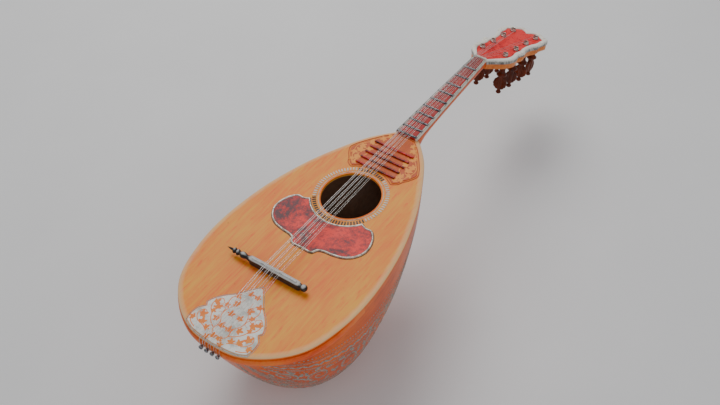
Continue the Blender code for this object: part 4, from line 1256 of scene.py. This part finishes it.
# %% Neck plate
NECK_LEAF = [(0, -4.6), (12, -5.2), (22, -14), (34, -28.5), (41, -38.5)]
NECK_LOBES = [(41, -38.5), (44.4, -47), (40.5, -56), (36, -61.5), (33, -67), (26, -71.6)]
arc = arc_to_middle(NECK_LOBES[-1], 42.4, 24)
leaf = mirrored(joined(curve_through(NECK_LEAF[:2], 3), curve_through(NECK_LEAF[1:], 4),
                       curve_through(NECK_LOBES, 8)[:-1], arc))
line = bead_parts(leaf, width=1.2, low=0.05, high=0.6, steps=5)
make_piece("neck_line", line, TERRA, nodes=["neck_ornament"])
make_piece("neck_plate", slab_parts(inset(leaf, 2.3), low=0.1, high=0.72, edge=0.15), TERRA)

vines = [
    [(15, -9.5), (18, -16), (25, -22), (26, -29), (21, -31), (19, -27)],
    [(26, -28), (33, -34), (38, -42), (36, -50), (30, -50), (30, -45), (34, -44)],
    [(36, -50), (34, -57), (29, -61), (25, -58), (27, -54)],
    [(27, -54), (22, -49), (24, -42), (29, -40)],
]
leaves = [(18, -18, 5.2, 5.6), (28, -30, 5.8, 2.6), (34, -39, 5.6, 3.4), (31, -47, 6.2, 1.4),
          (30, -57, 6.0, 2.7), (24, -38, 5.2, 4.3), (36, -50, 4.8, 4.4), (26, -65, 4.8, 1.2),
          (33, -60, 4.2, 3.9), (14, -12, 4.4, 5.5)]
make_flowers("neck", vines, leaves, VINE, foot=0.4, stem_top=0.76, leaf_top=0.80, swell=1.15)

# %% Segmented bars
BAR_Y = (-27.2, -36.0, -44.6, -53.4, -62.2)
for number, y in enumerate(BAR_Y, 1):
    bar = slab_parts(rectangle(25, y - 1.1, y + 1.1), low=1.2, high=2.6, edge=0.35)
    make_piece(f"bar_{number}", bar, BAR_RED, nodes=[f"deck_bar_{number}"])

# %% [markdown]
# ## Metal scrollwork on the bowl
# Thin metal bands and scrolls are let into the bowl. Each is drawn first on a flat sheet, where
# one direction is how far round the bowl from rim to keel, the other how far from neck to tail.
# The sheet is then laid on the bowl's own curve, so each strip keeps its width all the way.

# %% From the sheet to the bowl
SHEET_STEP = 0.0062


def on_sheet(way, y, radius, angle):
    """Sheet points about another: radius in millimetres along y, and in sheet steps across."""
    return way + radius * SHEET_STEP * np.cos(angle), y + radius * np.sin(angle)


def bowl_point(side, round_way, y):
    """Point on the bowl: round_way runs from 0 at the rim to 1 at the keel, side is -1 or 1."""
    angle = np.asarray(round_way) * math.pi / 2
    wide = bowl_half_width(y)
    deep = np.interp(-np.asarray(y, float), KEEL_LINE[:, 0], KEEL_LINE[:, 1])
    x = side * wide * np.cos(angle) ** (2 / SECTION_POWER)
    z = -deep * np.sin(angle) ** (2 / SECTION_POWER)
    return points_of(x, y, z)


def bowl_frame(side, round_way, y):
    """Point and outward normal there, from two small steps along the sheet."""
    point = bowl_point(side, round_way, y)
    along = bowl_point(side, round_way, y + 0.5) - bowl_point(side, round_way, y - 0.5)
    low, high = np.clip(round_way - 0.01, 0.001, 0.999), np.clip(round_way + 0.01, 0.001, 0.999)
    down = bowl_point(side, high, y) - bowl_point(side, low, y)
    normal = np.cross(along, down)
    normal /= np.linalg.norm(normal, axis=-1)[..., None]
    flip = np.sign(np.sum(normal * (point - (0, DEEPEST_Y, 0)) * (1, 0.2, 1), axis=-1))
    return point, normal * flip[..., None]


def inlay_parts(side, line, width, rise=0.16):
    """Strip on the bowl along a sheet line: half its width to each side, standing a hair proud."""
    line = np.asarray(line, float)
    point, normal = bowl_frame(side, line[:, 0], line[:, 1])
    along = np.gradient(point, axis=0)
    along /= np.maximum(np.linalg.norm(along, axis=1), 1e-9)[:, None]
    across = np.cross(normal, along)
    across /= np.linalg.norm(across, axis=1)[:, None]
    half = (np.broadcast_to(width, (len(line),)) / 2)[:, None]
    section = ((-1, -0.25), (-0.85, rise), (0.85, rise), (1, -0.25))
    rows = np.stack([point + across * half * s + normal * r for s, r in section], axis=1)
    return tube_parts(rows)


def leaf_on_bowl(side, way, y, size, angle):
    """Leaf on the bowl: an almond loop about a sheet point, turned by an angle."""
    turn = np.linspace(0, 2 * math.pi, 26, endpoint=False)
    a = np.cos(turn)
    b = 0.42 * np.sin(turn) * (1 - 0.35 * a)
    u = a * math.cos(angle) - b * math.sin(angle)
    v = a * math.sin(angle) + b * math.cos(angle)
    point, normal = bowl_frame(side, np.clip(way + size * SHEET_STEP * u, 0.005, 0.995), y + size * v)
    return tube_parts(np.stack([point - normal * 0.3, point + normal * 0.18]))


# %% Bands, leaf chains and scrolls
BAND_WAYS = (0.15, 0.43, 0.72)
SCROLLS = [(0.29, 9.5, -296, 1), (0.29, 12, -268, -1), (0.29, 13, -234, 1), (0.29, 13, -198, -1),
           (0.29, 13, -162, 1), (0.29, 12, -127, -1), (0.29, 10.5, -96, 1), (0.29, 8, -68, -1),
           (0.575, 10, -290, -1), (0.575, 13, -258, 1), (0.575, 14, -220, -1), (0.575, 14, -180, 1),
           (0.575, 13, -142, -1), (0.575, 11, -106, 1), (0.86, 12, -272, 1), (0.86, 14, -234, -1),
           (0.86, 14, -194, 1), (0.86, 13, -154, -1)]


def band_way(way, y):
    """A band's place on the sheet: it drifts a little towards the keel on its way to the neck."""
    return way + 0.04 - 0.04 * np.cos((np.asarray(y, float) + 318) / 298 * math.pi)


def scroll_parts(side, way, radius, y0, hand):
    """Scroll: a spiral that thins as it winds in, a fine echo inside it and seven leaves round it."""
    t = np.linspace(0, 1, 46)
    turn = hand * (0.6 + 2 * math.pi * 1.45 * t)
    reach = radius * (1 - 0.82 * t)
    curl = np.stack(on_sheet(way, y0, reach, turn), axis=1)
    echo = np.stack(on_sheet(way, y0, reach - 2.3, turn), axis=1)[:28]
    parts = [inlay_parts(side, curl, 2.6 - 1.4 * t), inlay_parts(side, echo, 0.55)]
    for step in range(7):
        angle = hand * (0.3 + step * 0.88)
        spot = on_sheet(way, y0, radius + 2.8, angle)
        parts.append(leaf_on_bowl(side, *spot, 4.0, angle + hand * 0.95))
    return parts


inlay = []
for side in (-1, 1):
    y = np.linspace(-318, -20, 130)
    for way in BAND_WAYS:
        for offset, width in ((-0.03, 1.0), (0.03, 1.0), (-0.042, 0.45), (0.042, 0.45)):
            inlay.append(inlay_parts(side, np.stack([band_way(way + offset, y), y], axis=1), width))
        for number, y0 in enumerate(np.arange(-312, -26, 5.0)):
            lean = math.pi / 2 + (0.55 if number % 2 else -0.55)
            inlay.append(leaf_on_bowl(side, float(band_way(way, y0)), y0, 2.9, lean))
    for way, radius, y0, hand in SCROLLS:
        inlay += scroll_parts(side, way, radius, y0, hand)
make_piece("bowl_scrolls", together(inlay), SCROLL)

# %% Dotted lines
def dot_parts(side, way, y, size):
    """Small round stud: a circle on the bowl, lifted a little."""
    line, y = on_sheet(way, y, size, np.linspace(0, 2 * math.pi, 10, endpoint=False))
    point, normal = bowl_frame(side, np.clip(line, 0.003, 0.997), y)
    return tube_parts(np.stack([point - normal * 0.3, point + normal * 0.2]))


dots = [dot_parts(side, float(band_way(way + offset, y)), y, 0.75)
        for side in (-1, 1) for way in BAND_WAYS for offset in (-0.062, 0.062)
        for y in np.arange(-312, -24, 3.6)]
make_piece("bowl_dots", together(dots), SCROLL)

# %% [markdown]
# ## Finishes for the pieces kept as they are
# Straight-sided pieces, such as the bindings, the fingerboard and the inner braces, keep their
# working shapes. They only need their finish.

# %% Assign finishes
KEPT = {
    "fingerboard": BOARD, "binding_bass": BINDING, "binding_treble": BINDING, "head_core": HEAD,
    "head_panel": PANEL, "neck_block": INSIDE, "tail_block": INSIDE, "brace_upper": INSIDE,
    "brace_lower": INSIDE, "lining_bass": INSIDE, "lining_treble": INSIDE,
}
for name, material in KEPT.items():
    mesh = frame["nodes"][name].data
    for index in range(len(mesh.materials)):
        mesh.materials[index] = material
print(len(KEPT), "pieces keep their working shape")

# %% [markdown]
# ## Room
# The instrument lies on a plain pale sheet. A large soft light stands over its head end and a
# weaker one fills the shadows from the other side.

# %% Floor
def floor_finish():
    """Plain white paper with the faintest unevenness."""
    f = Finish("floor_finish", roughness=0.6)
    return f.done(f.ramp(f.noise(6, detail=3), [(0.3, (0.88, 0.88, 0.88)), (0.7, (0.91, 0.91, 0.91))]))


floor_mesh = bpy.data.meshes.new("floor")
floor_mesh.from_pydata([(-9, -9, 0), (9, -9, 0), (9, 9, 0), (-9, 9, 0)], [], [(0, 1, 2, 3)])
floor_mesh.materials.append(floor_finish())
floor = bpy.data.objects.new("floor", floor_mesh)
bpy.context.scene.collection.objects.link(floor)


# %% Lights
def area_light(name, place, target, size, power, tint):
    """Square soft light that faces a target."""
    light = bpy.data.lights.new(name, "AREA")
    light.size, light.energy, light.color = size, power, tint
    lamp = bpy.data.objects.new(name, light)
    lamp.location = place
    lamp.rotation_euler = (Vector(target) - Vector(place)).to_track_quat("-Z", "Y").to_euler()
    bpy.context.scene.collection.objects.link(lamp)


MIDDLE = (0, 0, 0.1)
area_light("key_light", (-0.7, 0.6, 1.5), MIDDLE, size=1.1, power=15.5, tint=(1.0, 0.985, 0.96))
area_light("fill_light", (1.4, -0.9, 1.2), MIDDLE, size=1.6, power=7.5, tint=(0.96, 0.98, 1.0))
world = bpy.data.worlds.new("room")
world.use_nodes = True
world.node_tree.nodes["Background"].inputs["Color"].default_value = (0.93, 0.95, 1.0, 1.0)
world.node_tree.nodes["Background"].inputs["Strength"].default_value = 0.32
bpy.context.scene.world = world
print("lights", [lamp.name for lamp in bpy.data.lights])

# %% Camera
CAMERA_PLACE = Vector((0.50075, -0.61553, 0.94152))
CAMERA_RIGHT = Vector((0.80146, 0.59128, -0.08967))
CAMERA_UP = Vector((-0.38938, 0.62973, 0.67218))
lens = bpy.data.cameras.new("camera")
lens.lens = 52.11
lens.sensor_width = 36.0
camera = bpy.data.objects.new("camera", lens)
back = CAMERA_RIGHT.cross(CAMERA_UP)
turned = Matrix((CAMERA_RIGHT, CAMERA_UP, back)).transposed().to_4x4()
camera.matrix_world = Matrix.Translation(CAMERA_PLACE) @ turned
bpy.context.scene.collection.objects.link(camera)
bpy.context.scene.camera = camera
print("camera", round(CAMERA_PLACE.length, 2), "m away, lens", lens.lens, "mm")
